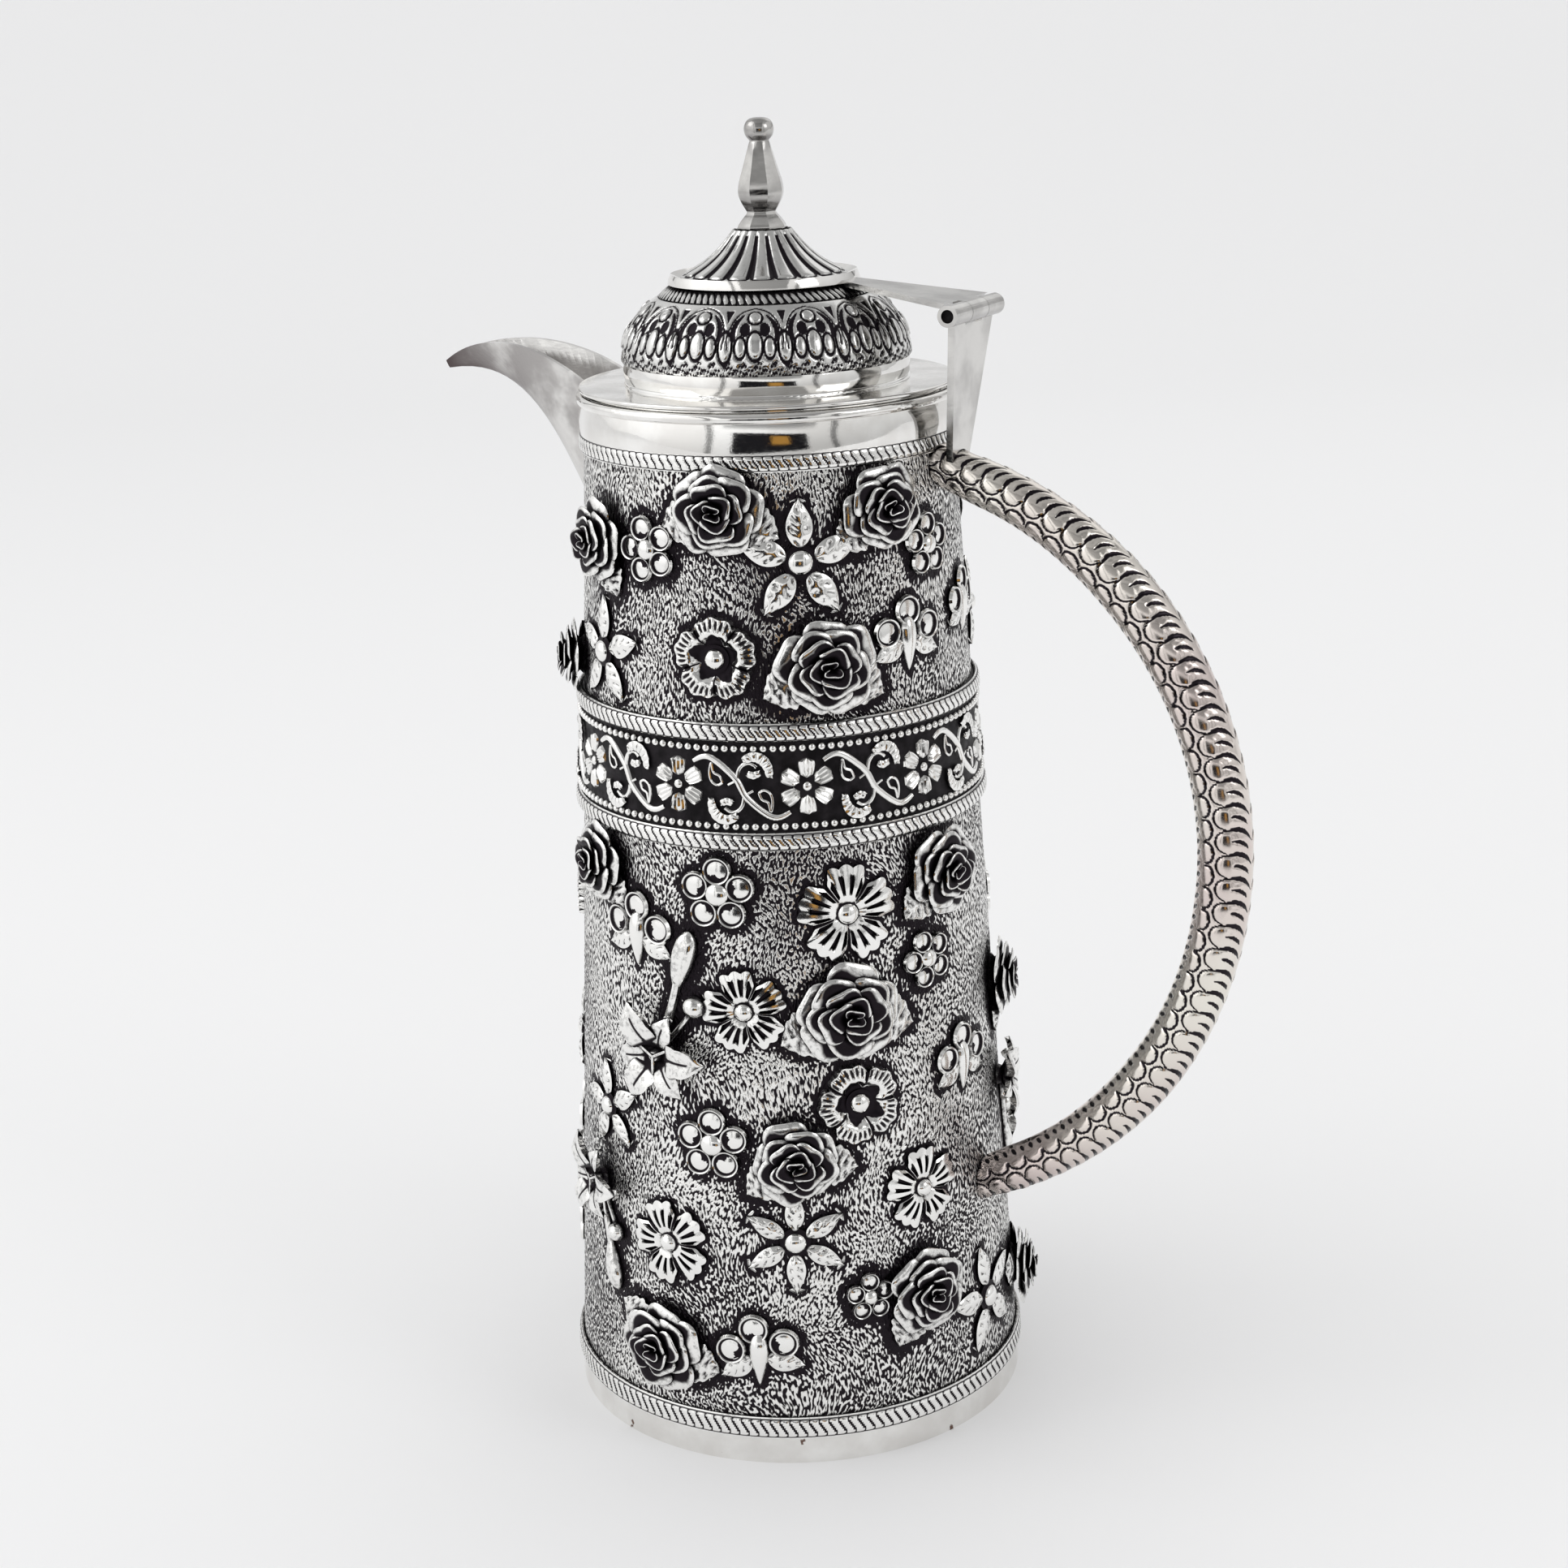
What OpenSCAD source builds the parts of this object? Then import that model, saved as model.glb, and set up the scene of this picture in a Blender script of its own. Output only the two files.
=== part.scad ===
// Silver coffee pot (dallah): a tall tapering wall dressed with applied flowers,
// an open beak spout, a hooped handle and a domed lid on a three-knuckle hinge.
// Millimetres, +Z up, the handle on +X, the spout on -X, the table at z = 0.

/* [Body] */
// Outer radius of the wall at the table
base_r = 52.3; // [48:0.1:56]
// Outer radius of the wall at the mouth
mouth_r = 39.8; // [38:0.1:42]
// Height of the wall from the table to the mouth
body_h = 234.3; // [226:0.1:242]
// Thickness of the silver sheet of the wall
wall_t = 1.2; // [0.9:0.1:1.6]
// Thickness of the bottom plate
base_t = 1.4; // [1:0.1:2.5]
// Height of the plain foot band
foot_h = 6.2; // [4:0.1:9]
// How far the foot band stands proud of the wall
foot_proud = 0.2; // [0.2:0.1:1]

/* [Bands] */
// Height of the roped band above the foot
foot_rope_h = 5; // [3:0.1:6]
// Distance of the belt's lower edge below the mouth
belt_drop = 92; // [89:0.1:95]
// Height of the belt strip between its two ropes
belt_strip_h = 20.4; // [18:0.1:22]
// Height of each rope that edges the belt
belt_rope_h = 3.2; // [2.4:0.1:4]
// How far the belt strip stands proud of the wall
belt_proud = 0.9; // [0.6:0.1:1.4]
// Relief of the scrolls and blossoms on the belt
scroll_rise = 0.6; // [0.4:0.1:0.9]
// Number of blossoms round the belt
belt_blossoms = 10; // [8:1:12]
// Radius of one bead of the two pearl rows
bead_r = 0.85; // [0.6:0.05:1]
// Number of beads in each pearl row
beads = 136; // [100:2:140]
// How far the roped bands stand proud of what they lie on
rope_proud = 0.7; // [0.4:0.1:1]

/* [Collar] */
// Height of the polished collar under the mouth
collar_h = 8.9; // [7:0.1:11]
// How far the collar stands proud of the wall
collar_proud = 0.5; // [0.3:0.1:0.9]
// Height of the roped band under the collar
collar_rope_h = 3.4; // [2.4:0.1:4.5]
// Radius of the wire round the mouth
rim_wire_r = 1.2; // [0.9:0.1:1.5]

/* [Spout] */
// Reach of the beak from the axis of the pot
spout_reach = 84; // [78:0.5:90]
// Height of the crest of the beak above the mouth
spout_crest = 8; // [6:0.1:10]
// Half width of the beak where it meets the mouth
spout_half_w = 10; // [8:0.1:11]
// Length of the keel down the wall from the mouth
spout_drop = 43; // [38:0.5:48]
// Thickness of the beak's sheet
spout_t = 1.3; // [1:0.1:1.8]
// Half width of the pouring cut in the wall
pour_half_w = 5; // [3:0.1:6]

/* [Handle] */
// Radius of the grip's tube at its thickest
grip_r = 6.1; // [5.4:0.1:6.6]
// Radius of the tube where it meets its two sockets
root_r = 5.3; // [4.6:0.1:5.8]
// Radius of the sockets at the wall
socket_r = 4.7; // [4:0.1:5.2]
// How far the grip's centre line stands outside the mouth at its furthest
grip_out = 65.7; // [60:0.1:70]
// Distance of the widest point of the handle below the mouth
grip_drop = 96; // [94:0.1:98]
// Bend radius of the upper half of the grip
upper_bend = 81.5; // [79:0.1:83]
// Bend radius of the lower half of the grip
lower_bend = 89.5; // [87:0.1:91]

/* [Hinge] */
// Distance of the hinge pin outside the mouth
hinge_out = 9; // [8.2:0.1:10.2]
// Height of the hinge pin above the mouth
hinge_rise = 17.1; // [16:0.1:18]
// Length of the barrel of three knuckles
barrel_l = 24.2; // [20:0.1:28]
// Outer radius of the knuckles
barrel_r = 2.25; // [2.1:0.05:2.6]
// Radius of the pin
pin_r = 1.4; // [1.1:0.05:1.6]
// Running clearance of the pin in the middle knuckle
pin_clear = 0.05; // [0.02:0.01:0.1]
// Side clearance between neighbouring knuckles
knuckle_gap = 0.15; // [0.1:0.01:0.3]
// How far the ends of the pin lie inside the barrel
pin_recess = 0.9; // [0.4:0.1:1.5]
// Width of the post at the barrel
post_top_w = 19.6; // [16:0.4:20]
// Width of the post at the handle
post_foot_w = 7.5; // [6:0.5:9]
// Thickness of the post's plate
post_t = 1.5; // [1.2:0.1:2]
// Thickness of the strap on the lid
strap_t = 1.2; // [1:0.1:1.6]
// Width of the strap's narrow end
strap_tip_w = 5; // [4:0.5:7]

/* [Lid] */
// How far the flange of the lid overhangs the mouth
flange_over = 1.5; // [1:0.1:2.5]
// Thickness of the flange
flange_t = 0.9; // [0.7:0.1:1.3]
// Gap between the mouth and the flange
lid_gap = 0.3; // [0.2:0.05:0.5]
// Radius of the polished neck
neck_r = 30.4; // [29:0.1:31]
// Height of the polished neck
neck_h = 4.6; // [3.5:0.1:6]
// Radius of the dome at its foot
dome_r = 31.2; // [31.1:0.1:32]
// Radius of the dome's rounding
dome_round = 15.2; // [14.5:0.1:16]
// Thickness of the sheet of the lid
lid_t = 1; // [0.8:0.1:1.3]
// Depth of the sleeve that drops into the mouth
sleeve_h = 4.5; // [3:0.1:5]
// Clearance of the sleeve in the mouth
sleeve_clear = 1.8; // [1.7:0.1:2.5]
// Radius of the ring under the fluted cone
drum_r = 17.4; // [16.5:0.1:18]
// Height of the fluted cone above the roped ring
cone_h = 11.2; // [9.5:0.1:12.5]
// Number of petals round the fluted cone
cone_petals = 20; // [16:1:24]
// Radius of the cone's top under the finial
cone_top_r = 6; // [5.6:0.1:6.6]
// Depth of the grooves between the petals of the cone
groove = 0.55; // [0.4:0.05:0.7]

/* [Finial] */
// Height of the finial
finial_h = 23.6; // [20:0.1:26]
// Radius of the finial's foot
finial_foot_r = 5.4; // [4.6:0.1:5.5]
// Largest radius of the pear
pear_r = 5.2; // [4.4:0.1:5.8]
// Radius of the knob
knob_r = 3.2; // [2.6:0.1:3.6]
// Radius of the threaded stud under the finial
stud_r = 1.5; // [1.2:0.1:1.8]
// Half width across the corners of the nut
nut_r = 3.4; // [2.9:0.1:3.8]
// Height of the nut
nut_h = 2.6; // [2:0.1:3.2]

/* [Flowers] */
// Radius of a full blossom
bloom_r = 10; // [9:0.1:10.1]
// Relief of the flat blossoms
blossom_rise = 1.2; // [0.9:0.1:1.6]
// How far a rose stands off the wall
rose_rise = 6.2; // [5:0.1:7]
// How far a lily stands off the wall
lily_rise = 4.4; // [3.5:0.1:5]

/* [Hidden] */

$fn = 64;
EPS = 0.01;                // overlap that keeps cuts clean
SEAT = 0.03;               // fit of the bottom plate in the wall
SINK = 2;                  // how deep a flower starts inside the wall before its back is cut
PETAL_SIDES = 10;          // sides of a round petal

// Heights along the wall
belt_z = body_h - belt_drop;
grip_z = body_h - grip_drop;
belt_strip_z = belt_z + belt_rope_h;
belt_top_rope_z = belt_strip_z + belt_strip_h;
belt_top_z = belt_top_rope_z + belt_rope_h;
collar_z = body_h - collar_h;
collar_rope_z = collar_z - collar_rope_h;
rim_wire_z = body_h - rim_wire_r - 0.2;
foot_rope_z = foot_h;

// Flange and heights of the lid
flange_r = mouth_r + flange_over;
flange_z = body_h + lid_gap;
neck_z = flange_z + flange_t;
dome_z = neck_z + neck_h;
dome_c = dome_r - dome_round;                  // radius at which the dome's rounding is centred
ring_out_r = dome_c + dome_round * 0.45;       // outer radius of the roped ring
ring_z = dome_z + dome_round * 0.9;            // height at which the roped ring starts
ring_in_r = drum_r + 2.8;                      // inner radius of the roped ring's slope
ring_top_z = dome_z + dome_round * 1.05;       // flat top of the roped ring
cone_top_z = ring_top_z + cone_h;
drum_h = 1.5;                                  // height of the plain drum under the cone
eave = 0.5;                                    // how far the cone's edge hangs over the drum
cone_curve = 47;                               // radius of the cone's hollow slope
cone_plate = lid_t + groove + EPS;             // thickness of the flat top of the cone

// Hinge and grip
hinge_x = mouth_r + hinge_out;
grip_reach = mouth_r + grip_out;
hinge_z = body_h + hinge_rise;
knuckle_l = barrel_l / 3;
bore_r = pin_r + pin_clear;

wall_lean = atan((base_r - mouth_r) / body_h); // lean of the wall from upright
upper_end = 70;                                // angle at which the grip meets its upper socket
lower_end = -63;                               // angle at which the grip meets its lower socket
grip_steps = 44;                               // rings along the grip
grip_sides = 24;                               // sides of the grip's tube

// Outer radius of the wall at a height
function wall_r(z) = base_r - (base_r - mouth_r) * z / body_h;

// ---- Shared shapes ----

// Solid of revolution inside the wall's outer face, longer than the wall by some spare
module wall_solid() {
    spare = body_h / 10;
    rotate_extrude($fn = 180)
        polygon([
            [0, -spare], [wall_r(-spare), -spare],
            [wall_r(body_h + spare), body_h + spare], [0, body_h + spare]
        ]);
}

// Band round the wall, from z0, h high and standing proud by p
module wall_band(z0, h, p) {
    rotate_extrude()
        polygon([
            [wall_r(z0), z0], [wall_r(z0) + p, z0],
            [wall_r(z0 + h) + p, z0 + h], [wall_r(z0 + h), z0 + h]
        ]);
}

// Round-backed band on a face that lies base proud of the wall
module bulged_band(z0, h, base, p) {
    mid = z0 + h / 2;
    bulge = (h * h / 4 + p * p) / (2 * p);
    rotate_extrude()
        intersection() {
            translate([wall_r(mid) + base + p - bulge, mid])
                circle(bulge);
            polygon([
                [wall_r(z0) + base, z0], [wall_r(z0) + base + 2 * p, z0],
                [wall_r(z0 + h) + base + 2 * p, z0 + h], [wall_r(z0 + h) + base, z0 + h]
            ]);
        }
}

// Stands its children on the wall: local X runs round to the right, Y up, Z outwards
module on_wall(turn, height, out = 0) {
    rotate([0, 0, turn])
        translate([wall_r(height) + out, 0, height])
            rotate([0, 90 - wall_lean, 0])
                rotate([0, 0, 90])
                    children();
}

// Pointed leaf outline from the origin along X
module leaf_outline(len, wid) {
    steps = 5;
    side = [for (i = [1 : steps - 1]) i / steps];
    polygon(concat(
        [[0, 0]], [for (t = side) [len * t, -wid / 2 * sin(180 * t)]],
        [[len, 0]], [for (i = [steps - 2 : -1 : 0]) [len * side[i], wid / 2 * sin(180 * side[i])]]
    ));
}

// ---- Body ----

// The pouring cut behind the beak: a slot with a round foot
module pour_cut() {
    foot = body_h - spout_drop * 0.62;
    top = rim_wire_z - rim_wire_r - 1;
    translate([-wall_r(0) - 5, 0, foot])
        rotate([0, 90, 0])
            cylinder(h = wall_r(0), r = pour_half_w);
    translate([-wall_r(0) - 5, -pour_half_w, foot])
        cube([wall_r(0), 2 * pour_half_w, top - foot]);
}

module body_shell() {
    color("silver")
        difference() {
            rotate_extrude()
                polygon([
                    [wall_r(0) - wall_t, 0], [wall_r(0), 0],
                    [mouth_r, body_h], [mouth_r - wall_t, body_h]
                ]);
            pour_cut();
        }
}

module base_plate() {
    color("silver")
        rotate_extrude()
            polygon([
                [0, 0], [wall_r(0) - wall_t - SEAT, 0],
                [wall_r(base_t) - wall_t - SEAT, base_t], [0, base_t]
            ]);
}

module foot_band() {
    color("gainsboro")
        wall_band(0, foot_h, foot_proud);
}

module foot_rope() {
    color("silver")
        bulged_band(foot_rope_z, foot_rope_h, 0, rope_proud);
}

// ---- Belt ----

module belt_strip() {
    color("dimgray")
        wall_band(belt_strip_z, belt_strip_h, belt_proud);
}

module belt_lower_rope() {
    color("silver")
        bulged_band(belt_z, belt_rope_h, 0, belt_proud + 0.4);
}

module belt_upper_rope() {
    color("silver")
        bulged_band(belt_top_rope_z, belt_rope_h, 0, belt_proud + 0.4);
}

// One row of half-round pearls seated on the belt strip
module pearl_row(height) {
    for (i = [0 : beads - 1])
        on_wall(i * 360 / beads, height, belt_proud)
            rotate_extrude()
                intersection() {
                    circle(bead_r);
                    square(bead_r);
                }
}

module belt_lower_pearls() {
    color("silver")
        pearl_row(belt_strip_z + bead_r * 2.1);
}

module belt_upper_pearls() {
    color("silver")
        pearl_row(belt_top_rope_z - bead_r * 2.1);
}

// Ribbon along a line of points, w wide in its middle and tip times that at its ends
module ribbon(line, w, tip) {
    last = len(line) - 1;
    across = [
        for (i = [0 : last])
            let (d = line[min(last, i + 1)] - line[max(0, i - 1)], t = abs(2 * i / last - 1))
            [-d[1], d[0]] / norm(d) * w / 2 * (1 - (1 - tip) * t)
    ];
    polygon(concat(
        [for (i = [0 : last]) line[i] + across[i]],
        [for (i = [last : -1 : 0]) line[i] - across[i]]
    ));
}

// Half of the scroll's bar, its inner arc and its leaf, in shares of half the motif's height
BAR = [[-1.39, 0.72], [-1.12, 0.86], [-0.84, 0.84], [-0.45, 0.56], [-0.13, 0.25], [0, 0]];
ARC = [[-0.1, 0.22], [-0.05, 0.5], [0.1, 0.66], [0.3, 0.7], [0.47, 0.6]];
CRESCENT = [[0.08, 0.8], [0.36, 0.92], [0.64, 0.84], [0.8, 0.6], [0.82, 0.34]];

// One blossom of the belt, then the scroll and two drops that follow it, drawn flat
module belt_motif(pitch, half_h) {
    petal = half_h * 0.78;
    bar = [for (p = BAR) p * half_h];
    petals(6, 30)
        leaf_outline(petal, petal * 0.6);
    circle(petal * 0.3, $fn = 8);
    translate([pitch / 2, 0]) {
        ribbon(concat(bar, [for (i = [len(bar) - 2 : -1 : 0]) -bar[i]]), half_h * 0.17, 0.7);
        for (side = [0, 180])
            rotate(side) {
                ribbon([for (p = ARC) p * half_h], half_h * 0.12, 0.8);
                ribbon([for (p = CRESCENT) p * half_h], half_h * 0.22, 0.4);
                translate([half_h * 0.46, -half_h * 0.06])
                    rotate(-55)
                        leaf_outline(half_h * 0.6, half_h * 0.28);
            }
    }
}

module belt_scrollwork() {
    mid = belt_strip_z + belt_strip_h / 2;
    half_h = belt_strip_h / 2 - bead_r * 3.2;
    pitch = 2 * PI * wall_r(mid) / belt_blossoms;
    first = -54.6;
    color("silver")
        for (i = [0 : belt_blossoms - 1])
            intersection() {
                on_wall(first + i * 360 / belt_blossoms, mid)
                    linear_extrude(belt_proud + 4)
                        belt_motif(pitch, half_h);
                rotate_extrude()
                    polygon([
                        [wall_r(belt_strip_z) + belt_proud, belt_strip_z],
                        [wall_r(belt_strip_z) + belt_proud + scroll_rise, belt_strip_z],
                        [wall_r(belt_top_rope_z) + belt_proud + scroll_rise, belt_top_rope_z],
                        [wall_r(belt_top_rope_z) + belt_proud, belt_top_rope_z]
                    ]);
            }
}

// ---- Collar and mouth ----

module collar_rope() {
    color("silver")
        difference() {
            bulged_band(collar_rope_z, collar_rope_h, 0, rope_proud);
            pour_cut();
        }
}

module collar_band() {
    color("gainsboro")
        difference() {
            wall_band(collar_z, rim_wire_z - rim_wire_r - collar_z, collar_proud);
            pour_cut();
        }
}

module rim_profile() {
    translate([wall_r(rim_wire_z) + 0.9, rim_wire_z])
        circle(rim_wire_r);
}

module rim_wire() {
    color("gainsboro")
        difference() {
            rotate_extrude($fn = 180)
                rim_profile();
            wall_solid();
        }
}

// ---- Spout ----

// Point of a cubic curve through four control points
function bez(p, t) =
    pow(1 - t, 3) * p[0] + 3 * pow(1 - t, 2) * t * p[1]
    + 3 * (1 - t) * t * t * p[2] + pow(t, 3) * p[3];

spout_root_x = -(mouth_r - 3);                 // starts inside the wall, which cuts it off
spout_rim = [                                  // edge of the channel, side view
    [spout_root_x, body_h - 3.2],
    [-spout_reach * 0.6, body_h + spout_crest],
    [-spout_reach * 0.84, body_h + spout_crest * 1.42],
    [-spout_reach, body_h + 2.4]
];
spout_keel = [                                 // underside of the beak, side view
    [spout_root_x - 1.5, body_h - spout_drop],
    [-spout_reach * 0.6, body_h - spout_drop * 0.62],
    [-spout_reach * 0.655, body_h + 5.5],
    [-spout_reach + 0.4, body_h + 0.6]
];
spout_width = [spout_half_w, spout_half_w * 0.98, spout_half_w * 0.34, 0.9];
spout_open = 0.8;                              // share of the beak that is an open channel
spout_steps = 26;
spout_ribs = 7;                                // points up each side of the section

// Outer point of the section: k runs -1 at the left edge, 0 at the keel, 1 at the right edge
function beak_out(t, k) =
    let (top = bez(spout_rim, t), low = bez(spout_keel, t), u = pow(abs(k), 1.5))
    [
        low[0] + (top[0] - low[0]) * u,
        -sign(k) * bez(spout_width, t) * pow(abs(k), 0.8),
        low[1] + (top[1] - low[1]) * u
    ];
// How deep the channel is there, from open to closed near the beak's tip
function beak_depth(t) = t < spout_open ? 1 : max(0.04, 1 - pow((t - spout_open) / 0.1, 1));
// Inner point of the section, a sheet's thickness inside
function beak_in(t, k) =
    let (
        top = bez(spout_rim, t), low = bez(spout_keel, t), high = norm(top - low),
        room = max(0.1, bez(spout_width, t) - spout_t),
        floor_u = min(0.9, 1.9 * spout_t / high),
        deep = 1 - (1 - floor_u) * beak_depth(t),
        u = deep + (1 - deep) * pow(abs(k), 1.5)
    )
    [
        low[0] + (top[0] - low[0]) * u,
        -sign(k) * room * pow(abs(k), 0.8),
        low[1] + (top[1] - low[1]) * u
    ];

module beak() {
    side = [for (i = [-spout_ribs : spout_ribs]) i / spout_ribs];
    ring = 2 * len(side);
    points = [
        for (s = [0 : spout_steps])
            let (t = s / spout_steps)
            each concat(
                [for (k = side) beak_out(t, k)],
                [for (i = [len(side) - 1 : -1 : 0]) beak_in(t, side[i])]
            )
    ];
    skin = [
        for (s = [0 : spout_steps - 1], i = [0 : ring - 1])
            let (a = s * ring, j = (i + 1) % ring)
            each [[a + i, a + ring + i, a + ring + j], [a + i, a + ring + j, a + j]]
    ];
    strip = [
        for (i = [0 : len(side) - 2])
            each [[i, i + 1, ring - 2 - i], [i, ring - 2 - i, ring - 1 - i]]
    ];
    last = spout_steps * ring;
    tip = [for (f = strip) [f[0] + last, f[2] + last, f[1] + last]];
    polyhedron(points = points, faces = concat(skin, strip, tip));
}

module spout() {
    color("gainsboro")
        difference() {
            beak();
            wall_solid();
            rotate_extrude()
                union() {
                    translate([0, rim_wire_z - rim_wire_r])
                        square([mouth_r, 3 * rim_wire_r]);
                    rim_profile();
                }
            wall_band(collar_z, rim_wire_z - rim_wire_r - collar_z, collar_proud);
            bulged_band(collar_rope_z, collar_rope_h, 0, rope_proud);
        }
}

// ---- Handle ----

// Centre line of the grip, from its upper socket round to its lower one
function grip_bend(a) = a >= 0 ? upper_bend : lower_bend;
function grip_point(a) =
    let (b = grip_bend(a)) [grip_reach - b + b * cos(a), 0, grip_z + b * sin(a)];
// Tube radius at an angle: full over most of the hoop and drawn in at both ends
function grip_radius(a) =
    let (left = a >= 0 ? upper_end - a : a - lower_end, s = min(1, left / 30))
    root_r + (grip_r - root_r) * s * s * (3 - 2 * s);

module handle_grip() {
    ring = [for (k = [0 : grip_sides - 1]) k * 360 / grip_sides];
    stops = [for (i = [0 : grip_steps]) upper_end + (lower_end - upper_end) * i / grip_steps];
    points = [
        for (a = stops)
            let (c = grip_point(a), r = grip_radius(a))
            each [for (k = ring) c + r * [cos(k) * cos(a), sin(k), cos(k) * sin(a)]]
    ];
    skin = [
        for (s = [0 : grip_steps - 1], i = [0 : grip_sides - 1])
            let (a = s * grip_sides, j = (i + 1) % grip_sides)
            each [[a + i, a + j, a + grip_sides + j], [a + i, a + grip_sides + j, a + grip_sides + i]]
    ];
    ends = [
        [for (i = [grip_sides - 1 : -1 : 0]) i],
        [for (i = [0 : grip_sides - 1]) grip_steps * grip_sides + i]
    ];
    color("lightgray")
        polyhedron(points = points, faces = concat(skin, ends));
}

// Straight tapering socket from an end of the grip into the wall
module socket(angle, way) {
    c = grip_point(angle);
    run = 30;
    difference() {
        translate(c)
            rotate([0, way > 0 ? -angle : 180 - angle, 0])
                cylinder(h = run, r1 = root_r, r2 = root_r - (root_r - socket_r) * run / 11);
        wall_solid();
        cylinder(h = body_h, r = mouth_r / 2);
    }
}

module handle_upper_socket() {
    color("gray")
        difference() {
            socket(upper_end, 1);
            bulged_band(collar_rope_z, collar_rope_h, 0, rope_proud);
            wall_band(collar_z, collar_h, collar_proud);
        }
}

module handle_lower_socket() {
    color("gray")
        socket(lower_end, -1);
}

// ---- Hinge ----

// One cylinder of the hinge line, between two places along Y
module hinge_rod(r, y0, y1) {
    translate([hinge_x, y1, hinge_z])
        rotate([90, 0, 0])
            cylinder(h = y1 - y0, r = r);
}

post_foot_x = grip_point(upper_end)[0] - 7;
post_foot_z = grip_point(upper_end)[2] + 2.6;
post_l = norm([hinge_x - post_foot_x, hinge_z - post_foot_z]);
post_lean = atan2(hinge_x - post_foot_x, hinge_z - post_foot_z);

module hinge_post() {
    half = barrel_l / 2;
    mid = knuckle_l / 2 + knuckle_gap;
    color("gainsboro")
        difference() {
            union() {
                hinge_rod(barrel_r, -half, -mid);
                hinge_rod(barrel_r, mid, half);
                translate([hinge_x, 0, hinge_z])
                    rotate([0, 180 + post_lean, 0])
                        rotate([90, 0, 90])
                            translate([0, 0, -post_t / 2])
                                linear_extrude(post_t)
                                    polygon([
                                        [-post_top_w / 2, barrel_r / 2], [post_top_w / 2, barrel_r / 2],
                                        [post_foot_w / 2, post_l], [-post_foot_w / 2, post_l]
                                    ]);
            }
            hinge_rod(pin_r, -barrel_l, barrel_l);
            hinge_rod(barrel_r + 0.35, -mid, mid);
            socket(upper_end, 1);
        }
}

module hinge_pin() {
    color("dimgray")
        hinge_rod(pin_r, -barrel_l / 2 + pin_recess, barrel_l / 2 - pin_recess);
}

// Side view of the strap: a flat foot on the roped ring, then a slope to the barrel
module strap_side() {
    foot_x = ring_in_r + 0.2;
    polygon([
        [drum_r - 3, ring_top_z], [foot_x, ring_top_z], [hinge_x, hinge_z + barrel_r - strap_t],
        [hinge_x, hinge_z + barrel_r], [foot_x, ring_top_z + strap_t], [drum_r - 3, ring_top_z + strap_t]
    ]);
}

module lid_strap() {
    half = barrel_l / 2;
    side = knuckle_l / 2 + knuckle_gap;
    color("gainsboro")
        difference() {
            union() {
                intersection() {
                    translate([0, half, 0])
                        rotate([90, 0, 0])
                            linear_extrude(barrel_l)
                                strap_side();
                    linear_extrude(2 * body_h)
                        polygon([
                            [0, -strap_tip_w / 2], [drum_r, -strap_tip_w / 2],
                            [hinge_x, -half + 1], [hinge_x, half - 1],
                            [drum_r, strap_tip_w / 2], [0, strap_tip_w / 2]
                        ]);
                }
                hinge_rod(barrel_r, -knuckle_l / 2, knuckle_l / 2);
            }
            hinge_rod(bore_r, -barrel_l, barrel_l);
            hinge_rod(barrel_r + 0.35, -barrel_l, -knuckle_l / 2);
            hinge_rod(barrel_r + 0.35, knuckle_l / 2, barrel_l);
            cylinder(h = ring_top_z + drum_h, r = drum_r);
            cone_outside();
        }
}

// ---- Lid ----

module lid_flange() {
    edge = flange_t / 2;
    color("gainsboro")
        rotate_extrude()
            union() {
                translate([neck_r - lid_t, flange_z])
                    square([flange_r - edge - neck_r + lid_t, flange_t]);
                translate([flange_r - edge, flange_z + edge])
                    circle(edge);
            }
}

module lid_sleeve() {
    sleeve_r = mouth_r - wall_t - sleeve_clear;
    color("silver")
        rotate_extrude()
            translate([sleeve_r - lid_t, flange_z - sleeve_h])
                square([lid_t, sleeve_h]);
}

module lid_neck() {
    step = 0.8;
    color("gainsboro")
        rotate_extrude()
            union() {
                translate([neck_r - lid_t, neck_z])
                    square([lid_t, neck_h]);
                intersection() {
                    translate([neck_r, neck_z])
                        circle(step);
                    translate([neck_r, neck_z])
                        square(step);
                }
            }
}

// Region of the dome's rounding at a radius, in the profile plane
module dome_disc(r) {
    translate([dome_c, dome_z])
        circle(r, $fn = 256);
}

module lid_dome() {
    lip = 1.1;
    color("silver")
        rotate_extrude()
            union() {
                intersection() {
                    difference() {
                        dome_disc(dome_round);
                        dome_disc(dome_round - lid_t);
                    }
                    translate([dome_c, dome_z])
                        square(dome_round + 1);
                }
                translate([neck_r - lid_t, dome_z])
                    square([dome_r - neck_r + lid_t - 0.2, lip]);
            }
}

module lid_rope_ring() {
    color("silver")
        rotate_extrude()
            difference() {
                polygon([
                    [drum_r - 2.5, ring_z], [ring_out_r, ring_z],
                    [ring_in_r, ring_top_z], [drum_r - 2.5, ring_top_z]
                ]);
                dome_disc(dome_round);
            }
}

// Hollow slope of the cone: a circle outside it that passes its edge and its top
function cone_centre() =
    let (
        a = [drum_r + eave, ring_top_z + drum_h], b = [cone_top_r, cone_top_z],
        d = b - a, m = (a + b) / 2, k = sqrt(cone_curve * cone_curve - norm(d) * norm(d) / 4)
    )
    m + k * [d[1], -d[0]] / norm(d);

// Side view of the cone's outside, from its seat up
module cone_profile(inset) {
    difference() {
        polygon([
            [0, ring_top_z], [drum_r - inset, ring_top_z], [drum_r - inset, ring_top_z + drum_h - 0.4],
            [drum_r + eave - inset, ring_top_z + drum_h - 0.4],
            [drum_r + eave - inset, cone_top_z - inset], [0, cone_top_z - inset]
        ]);
        translate(cone_centre())
            circle(cone_curve + inset, $fn = 128);
    }
}

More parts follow.
